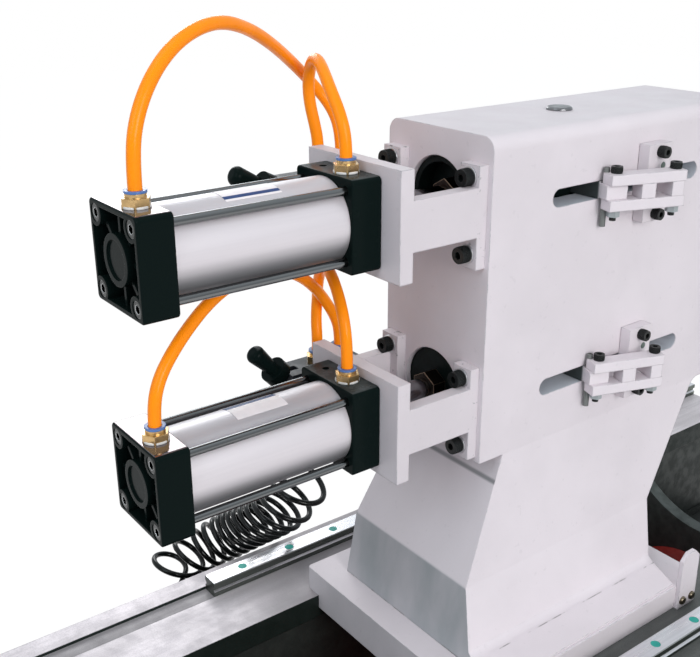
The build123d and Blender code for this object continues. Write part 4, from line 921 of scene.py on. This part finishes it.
# %% Label shell and foil
def label_shell(name, radius, centre, ends, low_degrees, high_degrees):
    steps = 24
    mesh = bmesh.new()
    skins = []
    for skin in (radius + 0.00005, radius + 0.0003):
        rows = []
        for step in range(steps + 1):
            turn = math.radians(low_degrees + (high_degrees - low_degrees) * step / steps)
            y, z = skin * math.sin(turn), centre + skin * math.cos(turn)
            rows.append([mesh.verts.new((x, y, z)) for x in ends])
        skins.append(rows)
    for rows in skins:
        for row, after in zip(rows, rows[1:]):
            mesh.faces.new((row[0], row[1], after[1], after[0]))
    inner, outer = skins
    for side in (0, 1):
        for step in range(steps):
            near, far = step, step + 1
            mesh.faces.new((inner[near][side], inner[far][side], outer[far][side], outer[near][side]))
    for step in (0, steps):
        mesh.faces.new((inner[step][0], inner[step][1], outer[step][1], outer[step][0]))
    bmesh.ops.recalc_face_normals(mesh, faces=mesh.faces)
    data = bpy.data.meshes.new(name)
    mesh.to_mesh(data)
    mesh.free()
    return data


def label_foil(name, band):
    material, tree, shader = new_finish(f"{name}_foil")
    across = along(tree, "Y")
    soft = 0.0004
    blue = window(tree, across, (band[0], band[0] + soft), (band[1], band[1] + soft))
    pale = between(tree, clouds(tree, 60), 0.3, 0.7)
    foil = two_tones(tree, pale, (0.92, 0.86, 0.885), (0.86, 0.81, 0.83))
    uneven = between(tree, clouds(tree, 90), 0.3, 0.7)
    band_tone = two_tones(tree, uneven, (0.018, 0.050, 0.170), (0.026, 0.066, 0.20))
    tree.links.new(two_tones(tree, blue, foil, band_tone), shader.inputs["Base Color"])
    tree.links.new(between(tree, clouds(tree, 120), 0.3, 0.7, 0.3, 0.45), shader.inputs["Roughness"])
    shader.inputs["Specular IOR Level"].default_value = 0.15
    return material


print("label helpers ready")

# %% Barrel labels
def barrel_label(name, barrel, ends, low_degrees, high_degrees, band):
    low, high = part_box(barrel)
    radius = (high[1] - low[1]) / 2
    centre = (high[2] + low[2]) / 2
    data = label_shell(name, radius, centre, ends, low_degrees, high_degrees)
    data.materials.append(label_foil(name, band))
    label = add_object(name, data)
    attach(label, "tailstock")
    print(name, "on radius", round(radius, 4))


barrel_label("upper_label", "upper_barrel", (-0.3145, -0.2675), -25, 12, (-0.0129, -0.0090))
barrel_label("lower_label", "lower_barrel", (-0.312, -0.2655), -19, 36, (0.0055, 0.0128))

# %% [markdown]
# ## Dressing the solids
# Each solid takes the finish of its slot in the record. A few share a slot and still look
# different on the machine, so those are named one by one.

# %% Finishes on the solids
special = {
    "tailstock_body": "head_paint", "base_plate": "base_paint",
    "cross_ribs": "rib_paint", "front_way_beam": "front_bed_paint", "stop_bracket_screws": "dome_bronze",
}
for name in axis_heights:
    special[f"{name}_cylinder_bracket"] = "bracket_paint"
    special[f"{name}_rear_cap"] = "polished_cap"
    special[f"{name}_yoke_key"] = "key_paint"
    special[f"{name}_yoke_bolts"] = "yoke_bolt_steel"
    special[f"{name}_rod_nut"] = "nut_bronze"
    special[f"{name}_tie_rods"] = "tie_rod_steel"


def dress(obj, finish):
    obj.data.materials.clear()
    obj.data.materials.append(finishes[finish])


slots = {entry["node"]: entry["material_slot"] for entry in frame["record"]["subparts"]}
for node, obj in nodes.items():
    dress(obj, special.get(node, slots[node]))
for hose in orange_hoses:
    dress(hose, "orange_hose")
dress(spiral, "black_hose")
print("dressed", len(nodes))

# %% [markdown]
# ## Last update
# The view layer is updated once more at the end.

# %% Last update
bpy.context.view_layer.update()
